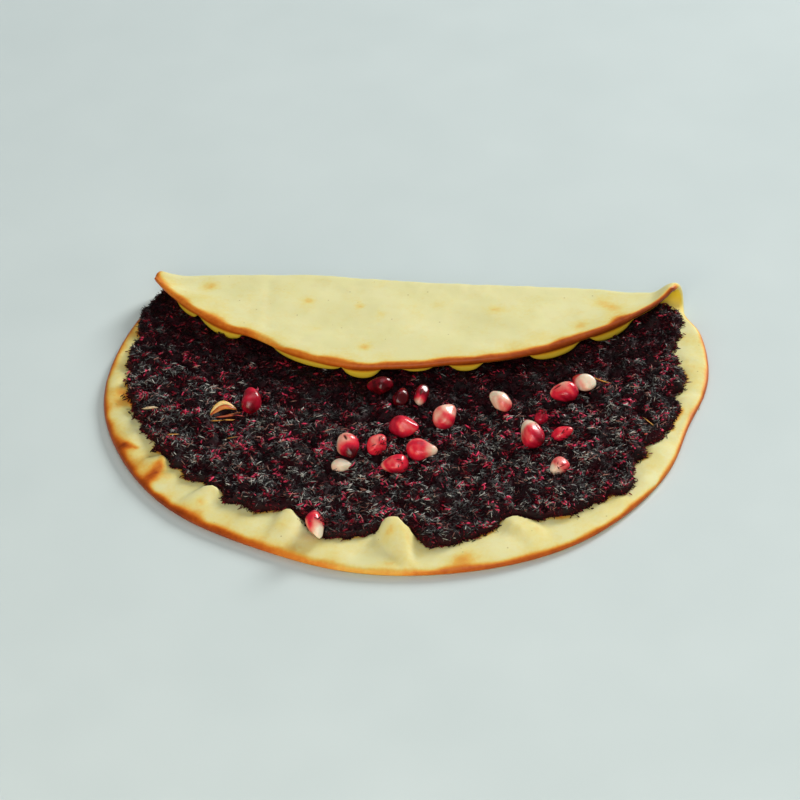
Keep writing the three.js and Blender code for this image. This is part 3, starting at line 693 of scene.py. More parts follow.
def shred_faces():
    """Triangles of a shred: its first end is point 0, then two rings of three, and point 7."""
    faces = []
    for near in (1, 2, 3):
        near_after = near % 3 + 1
        far = near + 3
        far_after = near_after + 3
        faces += [(0, near_after, near), (near, near_after, far_after)]
        faces += [(near, far_after, far), (far, far_after, 7)]
    return np.array(faces)


def join_shreds(name, points, tint, material):
    count = len(points)
    faces = shred_faces()[None] + SHRED_POINTS * np.arange(count)[:, None, None]
    tints = np.repeat(tint, SHRED_POINTS)
    piece = make_mesh(name, points.reshape(-1, 3), faces.reshape(-1, 3), material, {"tint": tints})
    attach(piece, "root")


# Kinds of shred: how many, their sizes, how much they stick up, and how strongly they keep to patches
# of their own, to the tops of the clumps, where the grey ones paint light, and to the strip of painted
# shadow along the flap.
Kind = namedtuple("Kind", "count size rise patch top damp")
SHRED_KINDS = {
    "filling_leaf_shreds": Kind(16400, Size((1.5, 3.4), (0.6, 1.4), (0.2, 0.45)), 0.24, 0, 0, 0),
    "filling_fibres": Kind(6000, Size((2.0, 4.2), (0.35, 0.6), (0.25, 0.4)), 0.22, 0, 0, 0),
    "filling_red_shreds": Kind(6500, Size((1.4, 3.4), (0.9, 2.0), (0.4, 0.8)), 0.2, 1.5, 0, 0.8),
    # The grey shreds are partly painted highlights of the wet dark leaves: they gather on the clumps' tops
    # and keep out of the flap's shadow.
    "filling_grey_shreds": Kind(8000, Size((1.6, 3.6), (0.4, 0.9), (0.2, 0.4)), 0.3, 1.6, 0.5, -3.0),
}

SHRED_LAYER = (-0.1, 0.8)  # how high over the core the shreds' middles lie
EDGE_DROP = 2.4  # the most that shreds slip down over the filling's edge
ROOM_UNDER_FLAP = 0.8
# Painted light and shade in the shreds' tint: lighter on the clumps' tops and in broad patches, darker in
# the clefts.
PAINTED_CLUMP_LIGHT = 0.2
PAINTED_PATCH_LIGHT = 0.13
PAINTED_CLEFT_SHADE = 0.5
# Painted shadow of the flap on the shreds: how much it darkens them and how far in front of the flap it
# reaches.
PAINTED_SHADE_TINT = 0.6
PAINTED_SHADE_REACH = 34

shred_lie = make_lumps(243, 20, 7, 18)
# Broad waves of painted light and shade on the shreds.
light_patches = make_lumps(257, 24, 9, 30)
patch_waves = {
    "filling_red_shreds": make_lumps(239, 24, 5, 16),
    "filling_grey_shreds": make_lumps(241, 24, 6, 20),
}


def flap_shadow_at(x, y):
    """Painted shadow of the flap on the filling, from 1 under the flap's rim to 0 well in front of it."""
    in_front = -in_from_rim(x, FLAP_START + FOLD_Y - y)
    return 1 - ramp(in_front, 0.3 * PAINTED_SHADE_REACH, PAINTED_SHADE_REACH)


def choose_places(random, name, kind):
    """Places for one kind of shred: more of them where its patches and the clumps' tops are."""
    if not kind.patch:
        return scatter_places(random, kind.count)
    places = scatter_places(random, 3 * kind.count)
    x, y = places.T
    liking = kind.patch * patch_waves[name](x, y) + kind.top * filling_clumps(x, y)
    # Painted shade: red shreds gather in the flap's shadow and grey ones keep out of it.
    liking = liking + random.normal(0, 1, len(places)) + kind.damp * flap_shadow_at(x, y)
    return places[np.argsort(-liking)[: kind.count]]


def make_shreds(materials):
    random = np.random.default_rng(4321)
    for name, kind in SHRED_KINDS.items():
        places = choose_places(random, name, kind)
        x, y = places.T
        count = len(places)
        edge = in_from_edge(x, y)
        drop = (1 - ramp(edge, -0.4, 1.1)) * random.uniform(0, EDGE_DROP, count)
        heights = fine_filling_height(x, y) + random.uniform(*SHRED_LAYER, count) - drop
        heights = np.minimum(heights, flap_underside(x, y) - ROOM_UNDER_FLAP)
        heights = np.maximum(heights, DOUGH_THICKNESS + 0.4)
        heading = 2 * shred_lie(x, y) + random.normal(0, 0.7, count)
        rise = kind.rise * ramp(edge, -1, 3)
        points = bend_shreds(random, places, heights, heading, kind.size, rise)
        points[..., 2] = np.maximum(points[..., 2], DOUGH_THICKNESS + 0.15)
        # Painted light: the shreds are lighter on the clumps' tops and in broad patches.
        tint = random.uniform(0, 1, count) ** 1.2 + PAINTED_CLUMP_LIGHT * filling_clumps(x, y)
        # Painted shade: the shreds are darker in the flap's shadow and in the clefts between clumps.
        tint = tint - PAINTED_SHADE_TINT * flap_shadow_at(x, y) - PAINTED_CLEFT_SHADE * clefts_at(x, y)
        tint = tint + PAINTED_PATCH_LIGHT * light_patches(x, y)
        join_shreds(name, points, np.clip(tint, 0, 1), materials[name])


EDGE_COUNT = 4200
EDGE_SIZE = Size((1.2, 3.4), (0.5, 1.2), (0.3, 0.55))
EDGE_TURN = (150, 388)  # degrees, round the open side
EDGE_BAND = (-1.6, 0.35)  # from inside the filling's edge to outside it
STRAY_SHARE = 0.08  # of the edge's shreds, that stray over the margin
STRAY_MEAN = 1.2
STRAY_LIMIT = 1.9  # no shreds stray farther than this from the filling
BARE_RIM = 3.4  # no shreds stray this near the dough's rim
COVER_SIZE = Size((1.5, 3.4), (0.4, 0.9), (0.25, 0.4))

# Seeds with shreds lying over them: number of the seed, where the shreds' middle is from the seed's,
# how far they spread and how many there are.
SEED_COVERS = [
    (15, 2.6, -3.4, 1.5, 26), (19, 2.4, 1.2, 1.6, 34), (17, 3.6, -2.6, 1.2, 12),
    (12, 0, 0, 2.2, 40), (11, 2.6, -2.2, 1.4, 16), (13, 0.5, -3, 1.6, 16),
]


def make_edge_shreds(material):
    """Shreds that cover the filling's steep edge and stray a little way over the bare margin."""
    random = np.random.default_rng(977)
    count = EDGE_COUNT
    angle = random.uniform(*np.radians(EDGE_TURN), count)
    stray = np.where(random.uniform(0, 1, count) < STRAY_SHARE, random.exponential(STRAY_MEAN, count), 0)
    reach = filling_reach(angle) + random.uniform(*EDGE_BAND, count) + np.minimum(stray, STRAY_LIMIT)
    reach = np.minimum(reach, dough_reach(angle) - BARE_RIM)
    places = np.stack([reach * np.cos(angle), reach * np.sin(angle)], axis=-1)
    x, y = places.T
    margin = DOUGH_THICKNESS + dough_relief(x, y)
    inside = filling_reach(angle) - reach
    top = np.maximum(fine_filling_height(x, y), margin + 0.3)
    heights = mix(margin + 0.35, top, random.uniform(0, 1, count) * ramp(inside, -0.6, 0.6))
    heights = np.minimum(heights, flap_underside(x, y) - ROOM_UNDER_FLAP)
    heading = angle + random.normal(0, 0.9, count)
    points = bend_shreds(random, places, heights, heading, EDGE_SIZE, 0.22)
    points[..., 2] = np.maximum(points[..., 2], np.minimum(margin[:, None] + 0.1, heights[:, None]))
    join_shreds("filling_edge_shreds", points, random.uniform(0, 1, count), material)


def make_cover_shreds(material):
    """Shreds that lie over some of the seeds."""
    random = np.random.default_rng(653)
    parts = []
    for number, right, back, spread, count in SEED_COVERS:
        seed = SEEDS[number - 1]
        offset = random.normal(0, spread, (count, 2)) + (right, back)
        half = 0.5 * seed.width
        places = offset + (seed.x, seed.y)
        over = seed.z + half * np.sqrt(np.clip(1 - (offset**2).sum(axis=1) / half**2, 0, 1))
        heights = np.maximum(over + 0.15, fine_filling_height(*places.T) + 0.5)
        heading = random.uniform(0, FULL_TURN, count)
        parts.append(bend_shreds(random, places, heights, heading, COVER_SIZE, 0.3))
    points = np.concatenate(parts)
    join_shreds("filling_cover_shreds", points, random.uniform(0, 1, len(points)), material)


# Bits that lie alone: place, direction in degrees, length, width, and tint, which is a place along
# the colours of stray bits.
STRAYS = [
    (78.3, -6.4, -27, 10, 0.5, 0.1), (99.2, -29.3, -47, 9.5, 0.5, 0.15),
    (-61.5, -51.6, 20, 5, 0.5, 0.1), (-85.1, -51.3, 4, 6, 0.5, 0.12),
    (-97, -36.4, 12, 6.8, 4.2, 0.35), (98.3, -37.8, 15, 1.6, 1.1, 0.8),
    (-84.7, 17, 60, 1.8, 1.1, 0.95), (117.4, -15.3, 75, 2.2, 0.35, 0.5),
    (0, -94.6, 150, 1.8, 0.6, 0.9), (43.9, -88.6, 30, 2.2, 0.7, 0.9),
    (49.7, -86.4, 170, 1.6, 0.6, 0.9), (112.1, 0.9, 10, 4, 0.7, 1.0),
    (-66.2, -38.4, 14, 9.4, 2.7, 0.7), (-63.2, -36.4, 22, 7.6, 2.2, 0.62),
    (-69.6, -40, 8, 6, 1.0, 0.05), (-61, -38.6, -8, 5, 1.4, 0.8), (-64.5, -40.6, 4, 5, 0.9, 0.1),
]


def make_strays(material):
    """Single bits on the filling and on the bare margin, at places of their own."""
    random = np.random.default_rng(88)
    parts = []
    for at_x, at_y, heading, length, width, _ in STRAYS:
        x = np.array([at_x])
        y = np.array([at_y])
        on_dough = DOUGH_THICKNESS + dough_relief(x, y) + 0.3
        on_filling = filling_height(x, y) + 1.1
        height = np.where(in_from_edge(x, y) > 0, on_filling, on_dough)
        thick = max(0.4, 0.5 * width)
        size = Size((length, length), (width, width), (thick, thick))
        direction = np.array([math.radians(heading)])
        parts.append(bend_shreds(random, np.stack([x, y], axis=-1), height, direction, size, 0.02))
    tints = np.array([stray[-1] for stray in STRAYS])
    join_shreds("filling_strays", np.concatenate(parts), tints, material)


# ---- Pomegranate seeds ----

# Place of the middle, size, the way the tip points and its pitch, as in the solids. Blush is the
# redness of the middle from 0 for cream to 1 for deep red, tip how much paler the tip is, side how
# much redder the front right side is, and glow how much paler the top is than the foot, as
# painted light. Slit is the place of a brown slit along and round.
Seed = namedtuple("Seed", "x y z length width turn pitch blush tip side glow slit")
SEEDS = [
    # Seeds 1 to 4 lie in the flap's shadow, and their blush near 1 is partly painted shade.
    Seed(-57.4, -30.6, 10.6, 10.5, 9, 100, 35, 0.86, 0.15, 0.0, 0.3, None),
    Seed(-8, -16.6, 9.8, 10, 7.4, 185, 0, 1.0, 0.1, 0.0, 0.1, None),
    Seed(0.9, -22.2, 8.6, 8.6, 6.4, 80, 15, 1.05, 0.1, 0.0, 0.1, None),
    Seed(8.9, -21.4, 9.6, 9.4, 6.8, 262, -12, 0.98, 0.9, 0.0, 0.3, (0.15, 80)),
    Seed(5, -42.6, 10.6, 11.6, 8.6, -8, 5, 0.66, 0.0, -0.05, 0.5, None),
    Seed(20.3, -35.3, 10.8, 11, 9, 62, 10, 0.42, 0.1, 0.05, 0.9, None),
    Seed(40.5, -23.9, 10.4, 10.4, 7.8, 138, 8, 0.14, 0.1, 0.18, 0.6, None),
    Seed(64.9, -17.4, 10.8, 10.8, 8.8, 200, 5, 0.56, -0.1, 0.2, 1.1, (0.55, 95)),
    Seed(72, -10, 10.4, 10, 7.6, 150, 0, 0.16, -0.5, -0.1, 0.8, None),
    Seed(55, -44.6, 11, 12, 9.6, 118, 20, 0.46, 0.35, 0.35, 0.4, (0.2, 130)),
    Seed(66.2, -40.4, 8.6, 8.6, 5.6, 20, 18, 0.62, 0.1, 0.0, 0.3, None),
    Seed(57.2, -29.4, 7.8, 7.4, 5.6, 70, 0, 0.7, 0.1, 0.0, 0.2, None),
    Seed(67, -60.2, 8.4, 8.6, 7, 232, -10, 0.42, 0.5, 0.0, 0.4, None),
    Seed(-14.9, -56.8, 11, 11.6, 9.2, -60, -5, 0.42, -0.3, 0.34, 0.4, (-0.2, 95)),
    Seed(-3.9, -54.6, 10.6, 9.6, 8, 250, -5, 0.6, 0.1, 0.05, 0.7, None),
    Seed(-16.2, -64.6, 7.6, 7.8, 6, 5, 0, 0.06, 0.0, 0.0, 0.5, None),
    Seed(4.6, -64.8, 10, 10.4, 7.8, 190, -6, 0.56, 0.2, 0.05, 0.4, None),
    Seed(13.8, -57, 11.2, 12, 8.8, -6, 4, 0.56, 0.5, 0.05, 0.2, None),
    Seed(-20.6, -100.6, 8.6, 12, 7.2, -66, -14, 0.55, 0.6, -0.15, 0.5, None),
]
SEED_PINCH = 0.28
SEED_PINCH_FROM = -0.2
SLIT_HALF_WIDTH = 7  # degrees round the seed
SLIT_HALF_LENGTH = 0.3  # of half the seed's length
SLIT_DEPTH = 0.08  # of the seed's width
SEED_FACETS = 11
FACET_DISTANCES = (0.86, 1.0)  # from the middle, for a ball of radius 1
FACET_SHARPNESS = 13
BALL_LIMIT = 1.06  # the radius where no facet is near
BLUSH_MOTTLE = 0.06
# How much paler the seeds' tops are painted, as painted light.
PAINTED_TOP_LIGHT = 0.22


def seed_axes(seed):
    """Directions of a seed's length, breadth and height in the part's frame."""
    turn = math.radians(seed.turn)
    pitch = math.radians(seed.pitch)
    length = np.array([math.cos(pitch) * math.cos(turn), math.cos(pitch) * math.sin(turn), math.sin(pitch)])
    breadth = np.array([-math.sin(turn), math.cos(turn), 0])
    return length, breadth, np.cross(length, breadth)


def kernel_radius(directions, index):
    """Radius of a ball pressed flat in places, as seeds are by their neighbours, with soft edges."""
    random = np.random.default_rng(700 + index)
    normals = random.normal(0, 1, (SEED_FACETS, 3))
    normals[:, 0] *= 0.6
    normals = normals / np.linalg.norm(normals, axis=1)[:, None]
    distances = random.uniform(*FACET_DISTANCES, SEED_FACETS)
    pressed = np.clip(directions @ normals.T, 0, 1) / distances
    total = (pressed**FACET_SHARPNESS).sum(axis=-1) + (1 / BALL_LIMIT) ** FACET_SHARPNESS
    return total ** (-1 / FACET_SHARPNESS)


def make_seed(index, seed, material):
    """A blunt drop with soft facets and, on some, a slit."""
    turns = 72
    rings = 36
    around = FULL_TURN * np.arange(turns)[:, None] / turns
    down = np.linspace(0.02, np.pi - 0.02, rings)[None, :]
    along = -np.cos(down) + 0 * around
    directions = np.stack([along, np.sin(down) * np.cos(around), np.sin(down) * np.sin(around)], axis=-1)
    ball = directions * kernel_radius(directions, index)[..., None]
    slit = np.zeros_like(along)
    if seed.slit:
        slit_along, slit_around = seed.slit
        off = turn_between(around, slit_around) / SLIT_HALF_WIDTH
        slit = knoll(along - slit_along, SLIT_HALF_LENGTH) * np.exp(-(off**2))
    width = seed.width * (1 - SEED_PINCH * ramp(along, SEED_PINCH_FROM, 1)) * (1 - SLIT_DEPTH * slit)
    size = np.stack([np.full_like(along, seed.length), width, width], axis=-1)
    local = 0.5 * ball * size @ np.array(seed_axes(seed))
    half = 0.5 * seed.width
    mottle = make_lumps(300 + index, 12, 3, 8)(local[..., 0] + local[..., 2], local[..., 1])
    front_right = (0.75 * local[..., 0] - 0.65 * local[..., 1]) / half
    blush = seed.blush - seed.tip * ramp(along, 0.1, 1) + seed.side * front_right
    # Painted light: each seed's top is paler than its foot.
    blush = blush + BLUSH_MOTTLE * mottle - PAINTED_TOP_LIGHT * seed.glow * local[..., 2] / half
    numbers = np.arange(turns * rings).reshape(turns, rings)
    piece = make_mesh(
        f"seed_flesh_{index + 1:02d}",
        (np.array([seed.x, seed.y, seed.z]) + local).reshape(-1, 3),
        np.concatenate([grid_quads(turns, rings), end_quads(numbers)]),
        material,
        {"blush": np.clip(blush, 0, 1.1), "slit": slit},
    )
    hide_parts(f"pomegranate_seed_{index + 1:02d}")
    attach(piece, "root")


# ---- Onion flake ----

FLAKE = {
    "x": -68.6, "y": -33.2, "z": 8.1, "length": 11, "turn": 24, "arch": 1.7, "curl": 1.8, "tilt": -0.25,
}

FLAKE_BARE = 4.0  # no loose shreds lie this near the flake's middle

# The flake's two strips: how far the middle bows aside, half width, and how red it is.
FLAKE_STRIPS = [(1.15, 0.95, 0.1), (-1.15, 0.95, 0.7)]
FLAKE_STRIP_THICKNESS = 1.0
FLAKE_WAVE = 0.15


def make_flake(material):
    """Two curved strips of onion that meet in points at both ends, with a dark slit between them."""
    sides = 12
    columns = 36
    turn = math.radians(FLAKE["turn"])
    around = FULL_TURN * np.arange(sides)[:, None] / sides
    along = np.linspace(-0.98, 0.98, columns)[None, :]
    full = (1 - along**2) ** 0.5
    lengthways = along * FLAKE["length"] / 2 + 0 * around
    numbers = np.arange(sides * columns).reshape(sides, columns)
    strip_faces = np.concatenate([grid_quads(sides, columns), end_quads(numbers)])
    points = []
    faces = []
    tints = []
    for number, (bow, widest, red) in enumerate(FLAKE_STRIPS):
        centre = bow * (1 - along**2) + FLAKE_WAVE * np.sin(5 * along + number)
        across = centre + widest * full * np.cos(around) - FLAKE["curl"] * along**2
        upwards = FLAKE["arch"] * (1 - along**2) - FLAKE["tilt"] * across
        upwards = upwards + FLAKE_STRIP_THICKNESS / 2 * np.sin(around) * full
        x = FLAKE["x"] + lengthways * math.cos(turn) - across * math.sin(turn)
        y = FLAKE["y"] + lengthways * math.sin(turn) + across * math.cos(turn)
        points.append(np.stack([x, y, FLAKE["z"] + upwards], axis=-1).reshape(-1, 3))
        tints.append((red + 0.15 * np.cos(around) + 0.2 * along**2).ravel())
        faces.append(strip_faces + number * numbers.size)
    tint = np.clip(np.concatenate(tints), 0, 1)
    piece = make_mesh(
        "onion_ribbons", np.concatenate(points), np.concatenate(faces), material, {"tint": tint}
    )
    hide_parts("onion_flake")
    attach(piece, "root")


# ---- Materials ----

# Colours along a level from 0 to 1: of the dough from pale to its brownest, of the filling's core from
# its hollows up, of the seeds from cream to deep red, and of the onion from yellow to red-brown.
DOUGH_COLOURS = [
    (0.0, (0.80, 0.762, 0.41)),
    (0.14, (0.80, 0.70, 0.28)),
    (0.30, (0.80, 0.50, 0.10)),
    (0.50, (0.73, 0.25, 0.024)),
    (0.70, (0.50, 0.10, 0.007)),
    (0.85, (0.30, 0.052, 0.006)),
    (1.0, (0.15, 0.022, 0.004)),
]
CORE_COLOURS = [(0.0, (0.028, 0.002, 0.005)), (0.35, (0.014, 0.004, 0.006)), (0.7, (0.010, 0.009, 0.010))]
# The darkest colours, near a level of 1, serve the painted shade of the seeds in the flap's shadow.
FLESH_COLOURS = [
    (0.0, (0.88, 0.76, 0.60)),
    (0.2, (0.84, 0.42, 0.32)),
    (0.4, (0.80, 0.12, 0.12)),
    (0.52, (0.76, 0.022, 0.05)),
    (0.64, (0.56, 0.012, 0.042)),
    (0.82, (0.30, 0.002, 0.015)),
    (1.0, (0.07, 0.001, 0.003)),
]
ONION_COLOURS = [
    (0.0, (0.86, 0.66, 0.28)),
    (0.35, (0.80, 0.42, 0.07)),
    (0.75, (0.55, 0.10, 0.02)),
    (1.0, (0.3, 0.03, 0.01)),
]
FLOOR_COLOURS = [(0.3, (0.60, 0.69, 0.70)), (0.7, (0.63, 0.72, 0.73))]
CLOUD_TINT = (0.95, 0.95, 0.89)
NO_TINT = (1.0, 1.0, 1.0)
# Painted warm bounce light on the shaded inner face of the flap and the fold.
PAINTED_BOUNCE_YELLOW = (0.86, 0.60, 0.02)
SPECK_BROWN = (0.30, 0.20, 0.06)
SLIT_BROWN = (0.09, 0.018, 0.01)


def new_material(name):
    material = bpy.data.materials.new(name)
    material.use_nodes = True
    return material, material.node_tree


def add_node(tree, kind, **settings):
    node = tree.nodes.new(kind)
    for key, value in settings.items():
        setattr(node, key, value)
    return node


def set_socket(tree, socket, value):
    """Gives a socket another node's output, a number, or numbers."""
    if isinstance(value, bpy.types.NodeSocket):
        tree.links.new(value, socket)
    else:
        socket.default_value = value


def add_noise(tree, scale_mm, detail=3.0, roughness=0.55):
    """Noise with features of about this size, in the part's own coordinates."""
    place = add_node(tree, "ShaderNodeTexCoord")
    noise = add_node(tree, "ShaderNodeTexNoise")
    noise.inputs["Scale"].default_value = 1 / (scale_mm * MM)
    noise.inputs["Detail"].default_value = detail
    noise.inputs["Roughness"].default_value = roughness
    tree.links.new(place.outputs["Object"], noise.inputs["Vector"])
    return noise.outputs["Fac"]


def add_attribute(tree, name):
    return add_node(tree, "ShaderNodeAttribute", attribute_name=name).outputs["Fac"]


def add_math(tree, operation, first, second):
    node = add_node(tree, "ShaderNodeMath", operation=operation)
    for socket, value in zip(node.inputs, (first, second)):
        set_socket(tree, socket, value)
    return node.outputs["Value"]


def add_range(tree, value, low, high, to_low=0.0, to_high=1.0):
    node = add_node(tree, "ShaderNodeMapRange")
    names = ("Value", "From Min", "From Max", "To Min", "To Max")
    for name, number in zip(names, (value, low, high, to_low, to_high)):
        set_socket(tree, node.inputs[name], number)
    return node.outputs["Result"]


def add_uneven(tree, value, scale_mm, detail, amount):
    """A value with noise of this size, by which it goes up or down by about this amount."""
    noise = add_range(tree, add_noise(tree, scale_mm, detail), 0.3, 0.7, -amount, amount)
    return add_math(tree, "ADD", value, noise)


def add_ramp(tree, value, stops):
    node = add_node(tree, "ShaderNodeValToRGB")
    elements = node.color_ramp.elements
    while len(elements) < len(stops):
        elements.new(0.5)
    for element, (position, colour) in zip(elements, stops):
        element.position = position
        element.color = (*colour, 1)
    tree.links.new(value, node.inputs["Fac"])
    return node.outputs["Color"]


def add_mix(tree, share, first, second, blend="MIX"):
    node = add_node(tree, "ShaderNodeMix", data_type="RGBA", blend_type=blend)
    set_socket(tree, node.inputs["Factor"], share)
    for socket, value in zip((node.inputs[6], node.inputs[7]), (first, second)):
        set_socket(tree, socket, (*value, 1) if isinstance(value, tuple) else value)
    return node.outputs[2]


def add_specks(tree, spacing_mm, size, rarity):
    """Small round specks at random: 1 on a speck and 0 elsewhere."""
    place = add_node(tree, "ShaderNodeTexCoord")
    cells = add_node(tree, "ShaderNodeTexVoronoi")
    cells.inputs["Scale"].default_value = 1 / (spacing_mm * MM)
    tree.links.new(place.outputs["Object"], cells.inputs["Vector"])
    near = add_range(tree, cells.outputs["Distance"], size, 0.4 * size)
    split = add_node(tree, "ShaderNodeSeparateColor")
    tree.links.new(cells.outputs["Color"], split.inputs["Color"])
    chosen = add_math(tree, "GREATER_THAN", split.outputs["Red"], rarity)
    return add_math(tree, "MULTIPLY", near, chosen)


def finish_material(material, colour, sockets, bumps=()):
    """Sets the shader's colour, other sockets and bumps: value, strength, height in millimetres."""
    tree = material.node_tree
    shader = tree.nodes["Principled BSDF"]
    tree.links.new(colour, shader.inputs["Base Color"])
    for name, value in sockets.items():
        set_socket(tree, shader.inputs[name], value)
    normal = shader.inputs["Normal"]
    for value, strength, height_mm in reversed(bumps):
        bump = add_node(tree, "ShaderNodeBump")
        bump.inputs["Strength"].default_value = strength
        bump.inputs["Distance"].default_value = height_mm * MM
        tree.links.new(value, bump.inputs["Height"])
        tree.links.new(bump.outputs["Normal"], normal)
        normal = bump.inputs["Normal"]
    return material


def bread_material():
    """Pale dough that browns along its rim and in soft spots, with fine flour specks and pores, and painted
    warm light in the shade under the flap.
    """
    material, tree = new_material("baked_dough")
    level = add_uneven(tree, add_attribute(tree, "browning"), 9, 3, 0.05)
    level = add_uneven(tree, level, 1.6, 4, 0.04)
    cloud = add_range(tree, add_noise(tree, 16, 2), 0.35, 0.68)
    tint = add_mix(tree, cloud, CLOUD_TINT, NO_TINT)
    clouded = add_mix(tree, 1.0, add_ramp(tree, level, DOUGH_COLOURS), tint, "MULTIPLY")
    # Painted warm bounce light in the shade under the flap.
    under = add_range(tree, add_attribute(tree, "underside"), 0, 1, 0, 0.95)
    yellowed = add_mix(tree, under, clouded, PAINTED_BOUNCE_YELLOW)
    specks = add_range(tree, add_specks(tree, 4, 0.1, 0.6), 0, 1, 0, 0.6)
    colour = add_mix(tree, specks, yellowed, SPECK_BROWN)
    sockets = {
        "Roughness": add_range(tree, level, 0.2, 0.9, 0.62, 0.34),
        "Specular IOR Level": 0.22,
        "Subsurface Weight": 0.2,
        "Subsurface Radius": (1.0, 0.7, 0.25),
        "Subsurface Scale": 1.5 * MM,
    }
    bumps = [(add_noise(tree, 3.5, 3), 0.2, 0.35), (add_noise(tree, 0.7, 4, 0.6), 0.25, 0.12)]
    return finish_material(material, colour, sockets, bumps)


def core_material():
    """The dark mass between the shreds, deep red where it is hollow."""
    material, tree = new_material("filling_mass")
    clump = add_range(tree, add_attribute(tree, "clump"), -1.2, 1.2)
    level = add_math(tree, "MULTIPLY", clump, add_noise(tree, 2.2, 4))
    sockets = {"Roughness": 0.45, "Specular IOR Level": 0.1}
    bumps = [(add_noise(tree, 0.8, 5, 0.7), 0.8, 0.4)]
    return finish_material(material, add_ramp(tree, level, CORE_COLOURS), sockets, bumps)


def shred_material(name, stops, roughness, shine):
    """Wet chopped shreds, each with its own tint and a little unevenness."""
    material, tree = new_material(name)
    level = add_uneven(tree, add_attribute(tree, "tint"), 0.6, 3, 0.15)
    sockets = {"Roughness": roughness, "Specular IOR Level": shine}
    bumps = [(add_noise(tree, 0.35, 2), 0.4, 0.1)]
    return finish_material(material, add_ramp(tree, level, stops), sockets, bumps)


def shred_materials():
    leaf = [(0.0, (0.004, 0.001, 0.002)), (0.6, (0.014, 0.008, 0.010)), (1.0, (0.08, 0.075, 0.075))]
    fibre = [(0.0, (0.010, 0.002, 0.003)), (0.6, (0.09, 0.010, 0.018)), (1.0, (0.50, 0.25, 0.20))]
    red = [(0.0, (0.035, 0.001, 0.004)), (0.6, (0.30, 0.005, 0.022)), (1.0, (0.85, 0.05, 0.14))]
    # The grey shreds' colours are partly painted highlights.
    grey = [(0.0, (0.03, 0.034, 0.034)), (0.6, (0.17, 0.18, 0.18)), (1.0, (0.60, 0.60, 0.55))]
    edge = [(0.0, (0.007, 0.003, 0.003)), (0.55, (0.026, 0.008, 0.008)), (1.0, (0.22, 0.012, 0.02))]
    stray = [
        (0.0, (0.75, 0.30, 0.04)),
        (0.2, (0.80, 0.42, 0.10)),
        (0.35, (0.72, 0.60, 0.42)),
        (0.5, (0.18, 0.10, 0.04)),
        (0.7, (0.66, 0.16, 0.05)),
        (0.8, (0.60, 0.06, 0.08)),
        (1.0, (0.14, 0.008, 0.012)),
    ]
    return {
        "filling_leaf_shreds": shred_material("dark_leaf", leaf, 0.36, 0.1),
        "filling_fibres": shred_material("dark_fibre", fibre, 0.4, 0.12),
        "filling_red_shreds": shred_material("red_leaf", red, 0.3, 0.25),
        "filling_grey_shreds": shred_material("grey_leaf", grey, 0.4, 0.25),
        "filling_edge_shreds": shred_material("edge_leaf", edge, 0.36, 0.1),
        "filling_strays": shred_material("stray_bits", stray, 0.4, 0.3),
    }


def seed_material():
    """Juicy translucent flesh, from cream through pink to deep red, with brown slits."""
    material, tree = new_material("pomegranate_flesh")
    level = add_uneven(tree, add_attribute(tree, "blush"), 2.4, 3, 0.06)
    slit = add_range(tree, add_attribute(tree, "slit"), 0.25, 0.8)
    colour = add_mix(tree, slit, add_ramp(tree, level, FLESH_COLOURS), SLIT_BROWN)
    sockets = {
        "Roughness": 0.26,
        "Specular IOR Level": 0.4,
        "Subsurface Weight": 0.4,
        "Subsurface Radius": (1.0, 0.25, 0.2),
        "Subsurface Scale": 2.0 * MM,
        "Coat Weight": 0.15,
        "Coat Roughness": 0.1,
    }
    return finish_material(material, colour, sockets, [(add_noise(tree, 2.4, 1), 0.12, 0.3)])


def onion_material():
    """Fried onion, glossy, one strip yellow and the other red-orange."""
    material, tree = new_material("fried_onion")
    level = add_uneven(tree, add_attribute(tree, "tint"), 1.3, 4, 0.1)
    sockets = {"Roughness": 0.3, "Subsurface Weight": 0.3, "Subsurface Scale": 1.0 * MM}
    bumps = [(add_noise(tree, 0.5, 3), 0.4, 0.15)]
    return finish_material(material, add_ramp(tree, level, ONION_COLOURS), sockets, bumps)


def floor_material():
    material, tree = new_material("studio_floor")
    colour = add_ramp(tree, add_noise(tree, 60, 2), FLOOR_COLOURS)
    return finish_material(material, colour, {"Roughness": 0.8})


# ---- Studio ----

CAMERA_AZIMUTH = 10.3
CAMERA_ELEVATION = 38.0
CAMERA_ROLL = 4.05
CAMERA_PLACE = (166.8, -937.2, 734.0)
CAMERA_LENS = 135


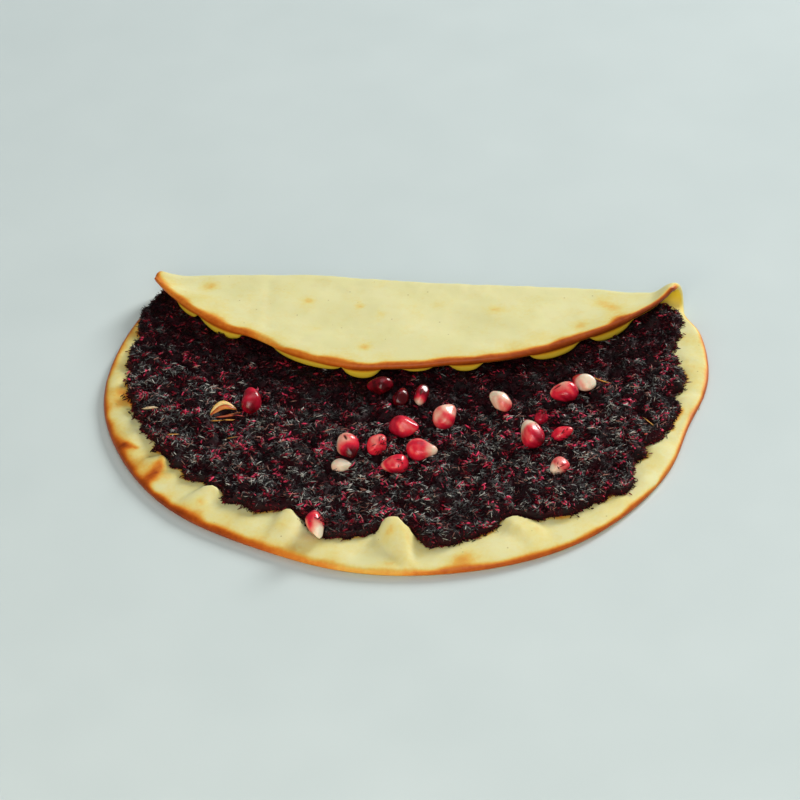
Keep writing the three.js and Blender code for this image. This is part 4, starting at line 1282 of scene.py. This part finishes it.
def make_camera():
    """The camera looks down on the bread from the front, a little from its right, and is tilted."""
    turned = Matrix.Rotation(math.radians(CAMERA_AZIMUTH), 4, "Z")
    turned = turned @ Matrix.Rotation(math.radians(90 - CAMERA_ELEVATION), 4, "X")
    turned = turned @ Matrix.Rotation(math.radians(-CAMERA_ROLL), 4, "Z")
    data = bpy.data.cameras.new("camera")
    data.lens = CAMERA_LENS
    data.sensor_width = 36
    data.clip_start = 0.05
    data.clip_end = 20
    camera = bpy.data.objects.new("camera", data)
    camera.matrix_world = Matrix.Translation(Vector(CAMERA_PLACE) * MM) @ turned
    bpy.context.scene.collection.objects.link(camera)
    bpy.context.scene.camera = camera


# Round soft lights, aimed at the bread: place and width in metres, power in watts, and colour.
LIGHTS = {
    "window": ((1.4, 2.0, 1.25), 1.1, 73, (1.0, 0.99, 0.96)),
    "ceiling": ((0.2, 0.6, 2.0), 1.5, 6, (0.97, 0.99, 1.0)),
    "room": ((0.2, -1.4, 1.2), 1.2, 15, (1.0, 0.98, 0.95)),
    "low_glow": ((-0.3, -1.25, 0.26), 0.8, 7, (1.0, 0.84, 0.55)),
}


def make_light(name, place, width, power, colour):
    data = bpy.data.lights.new(name, "AREA")
    data.shape = "DISK"
    data.size = width
    data.energy = power
    data.color = colour
    light = bpy.data.objects.new(name, data)
    light.location = place
    light.rotation_euler = (-Vector(place)).to_track_quat("-Z", "Y").to_euler()
    bpy.context.scene.collection.objects.link(light)


FLOOR_HALF = 3000
FLOOR_DROP = -0.0002  # in metres, just under the bread's underside
SKY_COLOUR = (0.86, 0.93, 0.95, 1)
SKY_STRENGTH = 0.1


def make_studio():
    half = FLOOR_HALF
    corners = np.array([(-half, -half, 0), (half, -half, 0), (half, half, 0), (-half, half, 0)])
    floor = make_mesh("floor", corners, np.array([[0, 1, 2, 3]]), floor_material())
    floor.location.z = FLOOR_DROP
    for name, settings in LIGHTS.items():
        make_light(name, *settings)
    world = bpy.data.worlds.new("studio")
    world.use_nodes = True
    background = world.node_tree.nodes["Background"]
    background.inputs["Color"].default_value = SKY_COLOUR
    background.inputs["Strength"].default_value = SKY_STRENGTH
    bpy.context.scene.world = world
    bpy.context.scene.view_settings.view_transform = "Standard"


def main():
    make_camera()
    make_studio()
    make_bread(bread_material())
    make_filling_core(core_material())
    shreds = shred_materials()
    make_shreds(shreds)
    make_edge_shreds(shreds["filling_edge_shreds"])
    make_cover_shreds(shreds["filling_edge_shreds"])
    make_strays(shreds["filling_strays"])
    flesh = seed_material()
    for index, seed in enumerate(SEEDS):
        make_seed(index, seed, flesh)
    make_flake(onion_material())


main()
